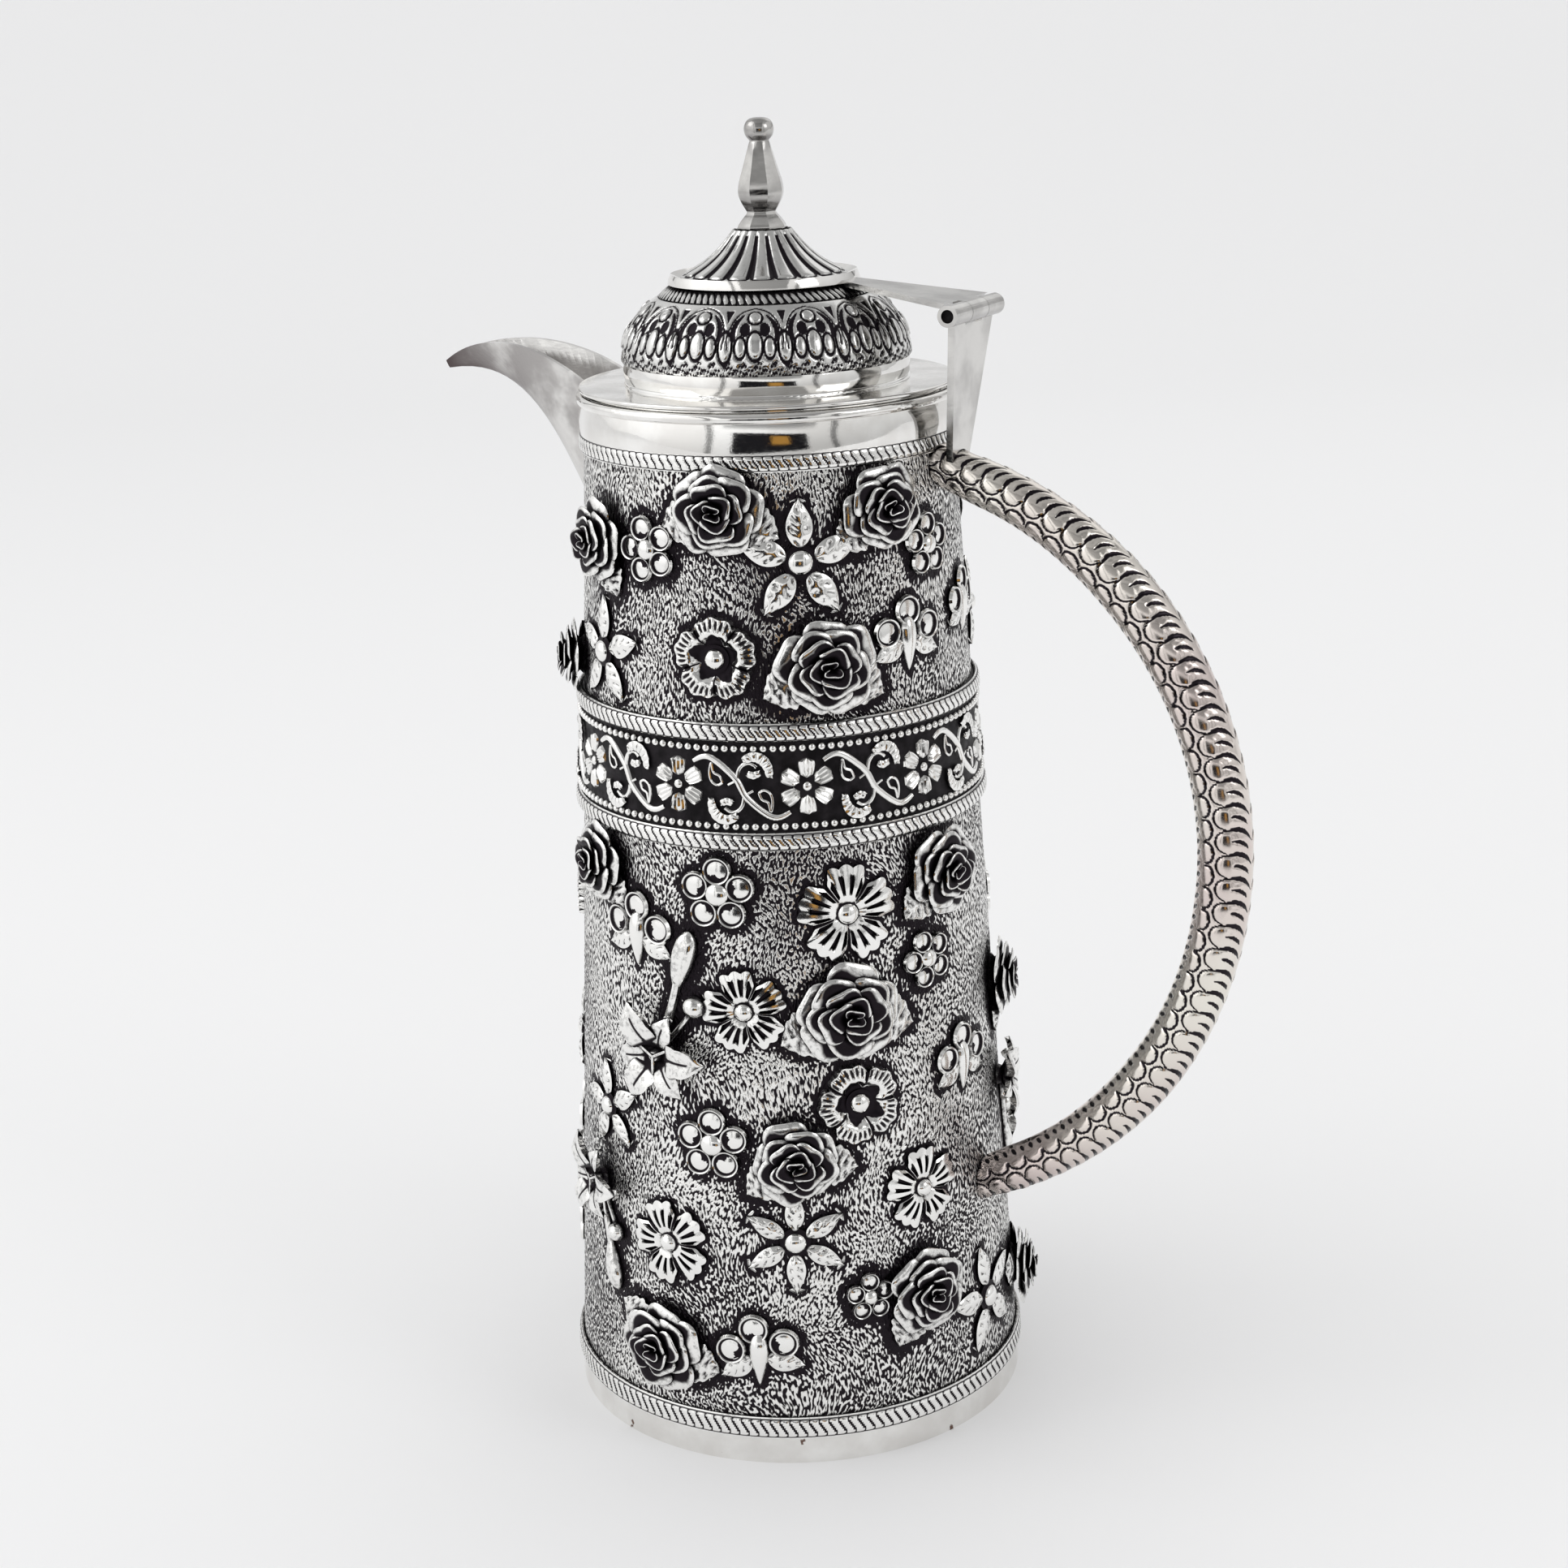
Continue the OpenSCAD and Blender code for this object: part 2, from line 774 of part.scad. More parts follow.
module cone_outside() {
    rotate_extrude()
        cone_profile(0);
}

module lid_cone() {
    slope = atan2(cone_h - drum_h, drum_r + eave - cone_top_r);
    color("silver")
        difference() {
            rotate_extrude()
                difference() {
                    cone_profile(0);
                    translate([0, -EPS])
                        cone_profile(lid_t + groove);
                    square([stud_r, 2 * cone_top_z]);
                }
            for (i = [0 : cone_petals - 1])
                rotate([0, 0, (i + 0.5) * 360 / cone_petals])
                    translate([drum_r + eave + 0.6, 0, ring_top_z + drum_h - 0.1])
                        rotate([0, slope - 90, 0])
                            cylinder(h = cone_h * 1.45, r1 = groove * 1.7, r2 = groove * 0.5, $fn = 24);
        }
}

// ---- Finial ----

module finial() {
    z = cone_top_z;
    s = finial_h / 23.6;               // heights below are those of a finial 23.6 high
    ball = 2.15 * s;                   // rounding of the knob
    color("gainsboro") {
        rotate_extrude($fn = 8)
            polygon([
                [0, z], [finial_foot_r, z], [finial_foot_r, z + 1.4 * s],
                [finial_foot_r * 0.74, z + 3.2 * s], [finial_foot_r * 0.62, z + 4 * s],
                [pear_r * 0.84, z + 5.8 * s], [pear_r, z + 8 * s], [pear_r * 0.92, z + 10.7 * s],
                [pear_r * 0.7, z + 14.1 * s], [pear_r * 0.48, z + 17.8 * s],
                [pear_r * 0.42, z + 18.8 * s], [0, z + 18.8 * s]
            ]);
        rotate_extrude()
            intersection() {
                union() {
                    translate([0, z + 18 * s])
                        square([knob_r * 0.72, 1.6 * s]);
                    translate([knob_r - ball, z + finial_h - ball])
                        circle(ball);
                    translate([0, z + finial_h - 2 * ball])
                        square([knob_r - ball, 2 * ball]);
                }
                translate([0, z])
                    square([2 * knob_r, finial_h]);
            }
        translate([0, 0, z - cone_plate - nut_h])
            cylinder(h = cone_plate + nut_h + 1, r = stud_r);
    }
}

module finial_nut() {
    color("gray")
        translate([0, 0, cone_top_z - cone_plate - nut_h])
            difference() {
                cylinder(h = nut_h, r = nut_r, $fn = 6);
                translate([0, 0, -1])
                    cylinder(h = nut_h + 2, r = stud_r);
            }
}

// ---- Flowers ----
// Each row of a list is one flower: turn round the wall in degrees, height in percent of its panel
// (with 100 added in the upper panel), radius in percent of a full blossom, and spin in degrees.
// A rose then has the angles of its leaves, a leaf star its number of leaves and a lily its lean.

ROSES = [
    [238, 167.9, 90, 10, [300]], [283, 184.9, 95, 0, [335, 198]], [331, 183, 90, 40, [218]],
    [213, 113, 80, 0, [160]], [312, 122.5, 102, 20, [205, 330]], [238, 93.7, 88, 0, [315]],
    [346, 92.1, 98, 50, [218]], [314, 71.5, 112, 10, [203, 342]],
    [299, 46.4, 94, 30, [215, 350]], [262, 10.5, 102, 15, [345, 150]],
    [332, 19.7, 98, 0, [238]], [20, 66.2, 90, 0, [250]], [22, 9.8, 90, 30, [20, 160]],
    [58, 164.1, 90, 0, [240]], [103, 183, 95, 20, [335, 198]], [132, 120.6, 100, 0, [205, 330]],
    [58, 92.9, 90, 30, [315]], [160, 91.4, 92, 0, [218]], [134, 70.8, 110, 10, [203, 342]],
    [119, 45.6, 94, 40, [215, 350]], [82, 11.3, 100, 0, [345]], [152, 19.7, 98, 25, [300]]
];
DAISIES = [
    [315, 88.3, 98, 0], [286.5, 72.3, 84, 12], [333, 38, 84, 0], [264, 29.6, 88, 20],
    [135, 88.3, 98, 20], [106, 72.3, 84, 0], [153, 38, 84, 12], [84, 29.6, 88, 0]
];
POPPIES = [
    [281, 126.3, 90, 0], [316, 55.5, 92, 20], [101, 126.3, 90, 15], [136, 54.8, 92, 0],
    [200, 83, 86, 0]
];
ROUNDS = [
    [259.5, 167.9, 70, 18], [349, 164.1, 66, 0], [280, 92.1, 80, 0], [339, 77.7, 64, 18],
    [277, 48.7, 80, 0], [316.5, 20.8, 54, 0], [79.5, 167.9, 70, 0], [100, 92.1, 80, 18],
    [159, 76.1, 64, 0], [97, 48.7, 80, 0], [40, 79.2, 70, 0], [200, 18.9, 74, 0]
];
STARS = [
    [306, 164.1, 108, 18, 5], [239, 122.5, 100, 0, 5], [298, 31.9, 98, 30, 6],
    [356, 12.1, 106, 10, 5], [241, 50.2, 88, 10, 5], [126, 164.1, 108, 0, 5],
    [59, 122.5, 100, 18, 5], [118, 31.9, 98, 0, 6], [176, 14.3, 104, 18, 5],
    [30, 128.2, 84, 0, 5], [202, 55.5, 88, 0, 6], [61, 50.2, 88, 30, 5]
];
BELLS = [
    [339, 128.2, 74, 0], [254, 83, 78, 0], [351, 57.1, 72, 0], [288, 11.3, 78, 10],
    [10, 133.8, 66, 0], [159, 126.3, 74, 0], [74, 82.2, 78, 0], [171, 55.5, 72, 0],
    [108, 12.1, 78, -10], [199, 38, 72, 0]
];
LILIES = [
    [262, 63.2, 104, 0, 75], [236, 35.7, 90, 0, -72], [18, 47.9, 86, 10, -75],
    [82, 63.2, 104, 0, 75], [45, 35.7, 90, 0, -72]
];

// Places and sizes of the flowers, from the panel that holds them
lower_panel = [foot_rope_z + foot_rope_h, belt_z];
upper_panel = [belt_top_z, collar_rope_z];
lower_rows = 6.5;                              // full blossoms that the lower panel is high
upper_rows = 2.6;                              // full blossoms that the upper panel is high
function panel(f) = f[1] < 100 ? lower_panel : upper_panel;
function panel_h(f) = panel(f)[1] - panel(f)[0];
function flower_z(f) = panel(f)[0] + panel_h(f) * (f[1] % 100) / 100;
function room(f) = panel_h(f) / (f[1] < 100 ? lower_rows : upper_rows) / 2;
function flower_r(f) = min(bloom_r, room(f)) * f[2] / 100;

// Raised relief that follows the wall: an outline cut through a band of the wall's own curve
module relief(turn, height, reach, rise) {
    intersection() {
        on_wall(turn, height, -4)
            linear_extrude(8 + rise)
                children();
        wall_band(height - reach - 1, 2 * reach + 2, rise);
    }
}

// Round boss in two steps, in the middle of a flower
module boss(turn, height, r, rise) {
    relief(turn, height, r, rise * 0.75)
        circle(r, $fn = 12);
    relief(turn, height, r, rise)
        circle(r * 0.68, $fn = 12);
}

// Copies of a petal turned round a flower's middle
module petals(count, spin) {
    for (i = [0 : count - 1])
        rotate(spin + i * 360 / count)
            children();
}

// Ring of round petals joined by a core
module round_petals(count, spin, dist, r, core) {
    petals(count, spin)
        translate([dist, 0])
            circle(r, $fn = PETAL_SIDES);
    circle(core, $fn = PETAL_SIDES);
}

// One tier of a tall flower, from inside the wall up to a height
module flower_tier(rise) {
    translate([0, 0, -SINK])
        linear_extrude(rise + SINK)
            children();
}

module rose(r, spin, leaves) {
    flower_tier(rose_rise * 0.2)
        for (a = leaves)
            rotate(a)
                translate([r * 0.4, 0])
                    leaf_outline(r * 0.86, r * 0.5);
    flower_tier(rose_rise * 0.46)
        round_petals(5, spin, r * 0.48, r * 0.38, r * 0.5);
    flower_tier(rose_rise * 0.72)
        round_petals(4, spin + 30, r * 0.3, r * 0.3, r * 0.3);
    flower_tier(rose_rise)
        difference() {
            circle(r * 0.36, $fn = 12);
            translate([r * 0.07, 0])
                circle(r * 0.24, $fn = PETAL_SIDES);
        }
    flower_tier(rose_rise * 0.94)
        circle(r * 0.13, $fn = PETAL_SIDES);
}

module roses() {
    color("silver")
        for (f = ROSES)
            difference() {
                on_wall(f[0], flower_z(f))
                    rose(flower_r(f), f[3], f[4]);
                wall_solid();
            }
}

module daisy(turn, z, r, spin) {
    relief(turn, z, r, blossom_rise)
        round_petals(6, spin, r * 0.66, r * 0.34, r * 0.6);
    boss(turn, z, r * 0.3, blossom_rise * 2);
}

module daisies() {
    color("gainsboro")
        for (f = DAISIES)
            daisy(f[0], flower_z(f), flower_r(f), f[3]);
}

module poppy(turn, z, r, spin) {
    relief(turn, z, r, blossom_rise * 1.2)
        difference() {
            round_petals(5, spin, r * 0.58, r * 0.42, r * 0.5);
            circle(r * 0.46, $fn = PETAL_SIDES);
        }
    relief(turn, z, r * 0.6, blossom_rise * 0.4)
        circle(r * 0.52, $fn = PETAL_SIDES);
    boss(turn, z, r * 0.26, blossom_rise * 1.8);
}

module poppies() {
    color("silver")
        for (f = POPPIES)
            poppy(f[0], flower_z(f), flower_r(f), f[3]);
}

module round_blossom(turn, z, r, spin) {
    relief(turn, z, r, blossom_rise)
        difference() {
            round_petals(5, spin + 90, r * 0.64, r * 0.36, r * 0.4);
            petals(5, spin + 90)
                translate([r * 0.68, 0])
                    circle(r * 0.17, $fn = 6);
        }
    boss(turn, z, r * 0.36, blossom_rise * 1.9);
}

module round_blossoms() {
    color("silver")
        for (f = ROUNDS)
            round_blossom(f[0], flower_z(f), flower_r(f), f[3]);
}

module leaf_star(turn, z, r, spin, count) {
    relief(turn, z, r, blossom_rise) {
        petals(count, spin + 90)
            translate([r * 0.1, 0])
                leaf_outline(r * 0.9, r * 0.42);
        circle(r * 0.28, $fn = PETAL_SIDES);
    }
    boss(turn, z, r * 0.23, blossom_rise * 1.9);
}

module leaf_stars() {
    color("gainsboro")
        for (f = STARS)
            leaf_star(f[0], flower_z(f), flower_r(f), f[3], f[4]);
}

// Three round petals over two leaves, with a hanging drop
module bell_flower(turn, z, r, spin) {
    relief(turn, z, r * 1.2, blossom_rise)
        rotate(spin) {
            difference() {
                for (a = [20, 90, 160])
                    rotate(a)
                        translate([r * 0.66, 0])
                            circle(r * 0.36, $fn = PETAL_SIDES);
                for (a = [20, 90, 160])
                    rotate(a)
                        translate([r * 0.7, 0])
                            circle(r * 0.16, $fn = 8);
            }
            circle(r * 0.42, $fn = PETAL_SIDES);
            for (a = [-28, 208])
                translate([0, -r * 0.35])
                    rotate(a)
                        leaf_outline(r * 1.05, r * 0.5);
            translate([0, r * 0.1])
                rotate(-90)
                    leaf_outline(r * 1.2, r * 0.42);
        }
    boss(turn, z, r * 0.4, blossom_rise * 1.9);
}

module bell_flowers() {
    color("silver")
        for (f = BELLS)
            bell_flower(f[0], flower_z(f), flower_r(f), f[3]);
}

// One lily on its stalk, with a bud at the stalk's end and a berry on a twig beside it
module lily(r, spin, lean) {
    side = sign(lean);
    flower_tier(lily_rise * 0.45)
        petals(3, spin)
            leaf_outline(r, r * 0.42);
    flower_tier(lily_rise * 0.8)
        petals(3, spin + 60)
            leaf_outline(r * 0.85, r * 0.4);
    flower_tier(lily_rise)
        circle(r * 0.2, $fn = PETAL_SIDES);
    rotate(lean) {
        flower_tier(blossom_rise)
            translate([0, -r * 0.08])
                square([r * 1.7, r * 0.16]);
        flower_tier(lily_rise * 0.7)
            translate([r * 1.5, 0])
                leaf_outline(r * 1.4, r * 0.48);
    }
    rotate(54 * side) {
        flower_tier(blossom_rise * 0.8)
            translate([0, -r * 0.06])
                square([r * 1.3, r * 0.12]);
        translate([r * 1.45, 0]) {
            flower_tier(lily_rise * 0.45)
                circle(r * 0.24, $fn = 12);
            flower_tier(lily_rise * 0.6)
                circle(r * 0.16, $fn = 12);
        }
    }
}

module lilies() {
    color("silver")
        for (f = LILIES)
            difference() {
                on_wall(f[0], flower_z(f))
                    lily(flower_r(f), f[3], f[4]);
                wall_solid();
            }
}

body_shell();
base_plate();
foot_band();
foot_rope();
belt_strip();
belt_scrollwork();
belt_lower_rope();
belt_upper_rope();
belt_lower_pearls();
belt_upper_pearls();
collar_rope();
collar_band();
rim_wire();
spout();
handle_grip();
handle_upper_socket();
handle_lower_socket();
hinge_post();
hinge_pin();
lid_strap();
lid_flange();
lid_sleeve();
lid_neck();
lid_dome();
lid_rope_ring();
lid_cone();
finial();
finial_nut();
roses();
daisies();
poppies();
round_blossoms();
leaf_stars();
bell_flowers();
lilies();
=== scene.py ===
"""A silver coffee pot with applied flowers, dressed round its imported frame."""
import math

import bmesh
import bpy
from bpy.props import FloatProperty, FloatVectorProperty, PointerProperty
from mathutils import Matrix, Vector
from mathutils.bvhtree import BVHTree


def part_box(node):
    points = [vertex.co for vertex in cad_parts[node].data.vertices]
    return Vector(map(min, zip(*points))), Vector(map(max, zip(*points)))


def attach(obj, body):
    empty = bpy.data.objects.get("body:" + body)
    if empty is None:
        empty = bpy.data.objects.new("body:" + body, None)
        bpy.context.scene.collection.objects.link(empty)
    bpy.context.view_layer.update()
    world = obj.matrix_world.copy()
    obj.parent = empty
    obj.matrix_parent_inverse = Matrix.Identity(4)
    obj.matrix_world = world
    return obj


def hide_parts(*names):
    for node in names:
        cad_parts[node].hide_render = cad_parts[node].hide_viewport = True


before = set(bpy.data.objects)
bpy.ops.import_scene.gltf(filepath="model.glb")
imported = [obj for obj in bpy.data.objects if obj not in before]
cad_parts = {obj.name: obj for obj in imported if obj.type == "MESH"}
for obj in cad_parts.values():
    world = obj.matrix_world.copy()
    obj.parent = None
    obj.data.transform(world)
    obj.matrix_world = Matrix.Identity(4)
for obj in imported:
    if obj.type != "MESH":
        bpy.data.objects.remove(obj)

bl_info = {
    "name": "Silver Coffee Pot",
    "version": (1, 0, 0),
    "blender": (4, 5, 0),
    "location": "View3D > Sidebar > Coffee Pot",
    "description": "Dresses a silver coffee pot with chased, applied and engraved ornament",
    "category": "Add Mesh",
}

MM = 0.001
TURN = math.tau
FRONT = math.radians(-90)        # flat pieces are modelled facing -Y, then bent round the pot
SUNK = 0.5 * MM                  # how far the back of an applied piece reaches into the wall


def clamp(share):
    return min(1, max(0, share))


# ---- Places read from the frame ----

def low(node):
    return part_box(node)[0]


def high(node):
    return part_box(node)[1]


def radius_at(node, z):
    """Largest radius of a node's vertices close to a height."""
    near = [v.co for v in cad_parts[node].data.vertices if abs(v.co.z - z) < 0.2 * MM]
    return max(math.hypot(c.x, c.y) for c in near)


WALL_FOOT = radius_at("body_shell", low("body_shell").z)
WALL_TOP = high("body_shell").z
WALL_LEAN = math.atan2(WALL_FOOT - radius_at("body_shell", WALL_TOP), WALL_TOP)


def wall_radius(z):
    return WALL_FOOT - z * math.tan(WALL_LEAN)


# ---- Hand tools ----

def clear_selection():
    if bpy.context.object and bpy.context.object.mode != "OBJECT":
        bpy.ops.object.mode_set(mode="OBJECT")
    bpy.ops.object.select_all(action="DESELECT")


def only(piece):
    clear_selection()
    piece.select_set(True)
    bpy.context.view_layer.objects.active = piece
    return piece


def settle(piece):
    """Puts a piece's place, turn and size into its mesh."""
    only(piece)
    bpy.ops.object.transform_apply(location=True, rotation=True, scale=True)
    return piece


def add(name, primitive, **settings):
    """A primitive at its size and place, with that place in its mesh."""
    clear_selection()
    primitive(**settings)
    piece = bpy.context.object
    piece.name = piece.data.name = name
    return settle(piece)


def modify(piece, kind, **settings):
    """Adds one modifier and applies it."""
    only(piece)
    bpy.ops.object.modifier_add(type=kind)
    modifier = piece.modifiers[-1]
    for key, value in settings.items():
        setattr(modifier, key, value)
    bpy.ops.object.modifier_apply(modifier=modifier.name)
    return piece


def shape(piece, rule):
    """Moves every vertex by a rule of its own place."""
    for vertex in piece.data.vertices:
        vertex.co = rule(*vertex.co)
    piece.data.update()
    return piece


def stamp(piece, place):
    """A copy of a piece, with its own mesh, at another place."""
    only(piece)
    bpy.ops.object.duplicate()
    twin = bpy.context.object
    twin.data.transform(place)
    return twin


def join(name, pieces):
    clear_selection()
    for piece in pieces:
        piece.select_set(True)
    bpy.context.view_layer.objects.active = pieces[0]
    if len(pieces) > 1:
        bpy.ops.object.join()
    pieces[0].name = pieces[0].data.name = name
    return pieces[0]


def discard(*pieces):
    clear_selection()
    for piece in pieces:
        piece.select_set(True)
    bpy.ops.object.delete()


def in_edit(piece, mode="FACE"):
    """Edit mode on one piece, with nothing selected."""
    only(piece)
    bpy.ops.object.mode_set(mode="EDIT")
    bpy.ops.mesh.select_mode(type=mode)
    bpy.ops.mesh.select_all(action="DESELECT")
    return bmesh.from_edit_mesh(piece.data)


def out_of_edit():
    bpy.ops.object.mode_set(mode="OBJECT")


def merge(piece, distance):
    in_edit(piece)
    bpy.ops.mesh.select_all(action="SELECT")
    bpy.ops.mesh.remove_doubles(threshold=distance)
    out_of_edit()
    return piece


def outward(piece):
    """Turns the faces of closed shells outwards."""
    in_edit(piece)
    bpy.ops.mesh.select_all(action="SELECT")
    bpy.ops.mesh.normals_make_consistent(inside=False)
    out_of_edit()
    return piece


def smooth(piece, angle):
    only(piece)
    bpy.ops.object.shade_smooth_by_angle(angle=math.radians(angle))
    return piece


def row(piece, count, step):
    """Copies a flat unit to the right."""
    return modify(
        piece, "ARRAY", count=count, use_relative_offset=False, use_constant_offset=True,
        constant_offset_displace=(step, 0, 0),
    )


def bend(piece, radius, axis="Z"):
    """Bends a flat piece that faces -Y round an axis of that radius, which lies behind it."""
    only(piece)
    side = 0 if axis == "Z" else 2
    spread = [v.co[side] for v in piece.data.vertices]
    return modify(
        piece, "SIMPLE_DEFORM", deform_method="BEND", deform_axis=axis,
        angle=(max(spread) - min(spread)) / radius,
    )


def band_on_wall(piece, z, radius, lean):
    """Bends a flat strip, whose height starts at its own z of 0, round the pot at a height."""
    piece.data.transform(Matrix.Rotation(-lean, 4, "X"))
    bend(piece, radius)
    piece.data.transform(Matrix.Translation((0, -radius, z)))
    return piece


def place_on_wall(piece, turn, z):
    """Sets a flat flower that faces -Y on the wall, at a turn in degrees and a height."""
    radius = wall_radius(z)
    bend(piece, radius)
    piece.data.transform(
        Matrix.Rotation(math.radians(turn) - FRONT, 4, "Z")
        @ Matrix.Translation((0, -radius, z))
        @ Matrix.Rotation(-WALL_LEAN, 4, "X")
    )
    return piece


def dress(piece, body, slot, material, *nodes):
    """Hands a finished piece to its body and its material; the record slot is not used."""
    settle(piece)
    piece.data.materials.clear()
    piece.data.materials.append(material)
    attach(piece, body)
    if nodes:
        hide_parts(*nodes)
    return piece


# ---- Finishes ----

class Nodes:
    """Short calls for the node tree of a material or a world."""

    def __init__(self, owner, place):
        owner.use_nodes = True
        self.tree = owner.node_tree
        self.place = self.add("ShaderNodeTexCoord").outputs[place]

    def add(self, kind, links=None, **settings):
        node = self.tree.nodes.new(kind)
        for key, value in settings.items():
            setattr(node, key, value)
        for key, value in (links or {}).items():
            self.put(node.inputs[key], value)
        return node

    def put(self, socket, value):
        if isinstance(value, bpy.types.NodeSocket):
            self.tree.links.new(value, socket)
        else:
            socket.default_value = value

    def noise(self, scale, detail=3.0, stretch=None):
        place = self.place
        if stretch:
            place = self.add("ShaderNodeMapping", {"Vector": place, "Scale": stretch}).outputs[0]
        links = {"Vector": place, "Scale": scale, "Detail": detail, "Roughness": 0.55}
        return self.add("ShaderNodeTexNoise", links).outputs["Fac"]

    def parts(self, vector):
        """The X, Y and Z of a place or a direction."""
        return self.add("ShaderNodeSeparateXYZ", {"Vector": vector}).outputs

    def span(self, value, from_low, from_high, to_low, to_high):
        """A value taken softly from one range to another."""
        links = {
            "Value": value, "From Min": from_low, "From Max": from_high,
            "To Min": to_low, "To Max": to_high,
        }
        node = self.add("ShaderNodeMapRange", links, interpolation_type="SMOOTHSTEP")
        return node.outputs["Result"]

    def math(self, operation, a, b=0.0):
        return self.add("ShaderNodeMath", {0: a, 1: b}, operation=operation).outputs[0]

    def times(self, a, b):
        return self.math("MULTIPLY", a, b)

    def mix(self, share, under, over, **settings):
        """A colour laid over another where the share is 1."""
        node = self.add("ShaderNodeMix", data_type="RGBA", **settings)
        self.put(node.inputs["Factor"], share)
        for key, colour in (("A", under), ("B", over)):
            linked = isinstance(colour, bpy.types.NodeSocket)
            self.put(node.inputs[key], colour if linked else (*colour, 1))
        return node.outputs["Result"]


class Metal(Nodes):
    """A new material and the calls that only a material needs."""

    def __init__(self, name, metallic=1.0):
        self.material = bpy.data.materials.new(name)
        super().__init__(self.material, "Object")
        self.shader = self.tree.nodes["Principled BSDF"]
        self.shader.inputs["Metallic"].default_value = metallic

    def hollow(self, distance, strength):
        """1 on open faces and 0 deep in a corner."""
        shade = self.add("ShaderNodeAmbientOcclusion", {"Distance": distance}, samples=8)
        return self.math("POWER", shade.outputs["AO"], strength)

    def attribute(self, name):
        return self.add("ShaderNodeAttribute", attribute_name=name).outputs["Fac"]

    def unmarked(self):
        """1 on open silver and 0 where a vertex is marked black."""
        return self.span(self.attribute("black"), 0.25, 0.6, 1, 0)

    def bump(self, height, distance, strength, normal=None):
        links = {"Height": height, "Distance": distance, "Strength": strength}
        if normal:
            links["Normal"] = normal
        return self.add("ShaderNodeBump", links).outputs["Normal"]

    def finished(self, colour, roughness, normal):
        """Leads the three results to the shader and hands the material over."""
        for name, value in (("Base Color", colour), ("Roughness", roughness), ("Normal", normal)):
            self.put(self.shader.inputs[name], value)
        return self.material


def polished_silver(finish):
    """Bright sheet silver with a slow wave of handwork, faint rubbing and stains at its foot."""
    n = Metal("polished silver")
    tint = n.mix(n.span(n.noise(90, 4), 0.35, 0.7, 0, 1), (0.80, 0.785, 0.76), finish.bright)
    low_down = n.span(n.parts(n.place)["Z"], 6.0 * MM, 6.6 * MM, 1, 0)
    stain = n.times(n.span(n.noise(150, 4), 0.645, 0.67, 0, 1), low_down)
    rubbed = n.span(n.noise(700, 3, stretch=(1, 1, 6)), 0.3, 0.75, 0.04, 0.12)
    wave = n.bump(n.noise(55, 1), 0.5 * MM, 0.35)
    grain = n.bump(n.noise(2600, 2), 0.01 * MM, 0.5, wave)
    return n.finished(n.mix(stain, tint, (0.16, 0.10, 0.08)), rubbed, grain)


def worn_silver_shaded_below(name="worn silver shaded below", dark=(0.34, 0.33, 0.325), light=(0.72, 0.71, 0.69), tip=0.0):
    """Sheet silver gone grey, darkest underneath with painted shade and patina and, if wanted, at
    the tip of the beak.
    """
    n = Metal(name)
    cloud = n.span(n.span(n.noise(70, 4), 0.34, 0.68, 0, 1), 0, 1, 0.45, 1)
    # Painted shade and patina: faces that look down are darker.
    upward = n.parts(n.add("ShaderNodeNewGeometry").outputs["Normal"])["Z"]
    cloud = n.times(cloud, n.span(upward, -0.75, -0.05, 0.12, 1))
    if tip:
        cloud = n.times(cloud, n.span(n.parts(n.place)["X"], -tip, -tip * 0.82, 0.0, 1))
    rubbed = n.span(n.noise(500, 3, stretch=(1, 1, 5)), 0.3, 0.75, 0.12, 0.26)
    wave = n.bump(n.noise(60, 1), 0.5 * MM, 0.35)
    return n.finished(n.mix(cloud, dark, light), rubbed, wave)


def chased_silver(finish, name="chased silver", shadow=0.46, open_at=0.92, dull=1.0):
    """Relief silver, black in the hollows and rubbed bright on the high points."""
    n = Metal(name)
    soot = n.span(n.noise(900, 3), 0.3, 0.7, -0.14, 0.14)
    share = n.span(n.math("ADD", n.hollow(1.6 * MM, 1.6), soot), shadow, open_at, 0, 1)
    share = n.times(share, n.unmarked())
    bright = [dull * channel for channel in finish.bright]
    grain = n.bump(n.noise(1500, 2), 0.03 * MM, 0.6)
    return n.finished(n.mix(share, finish.patina, bright), n.span(share, 0, 1, 0.5, 0.14), grain)


STROKE_DRIFT = 9 * MM            # how far the rows of punch marks wander
STROKE_SLANT = 0.55              # turn of the marks, in radians
STROKE_STRETCH = 0.46            # width of a mark over its length


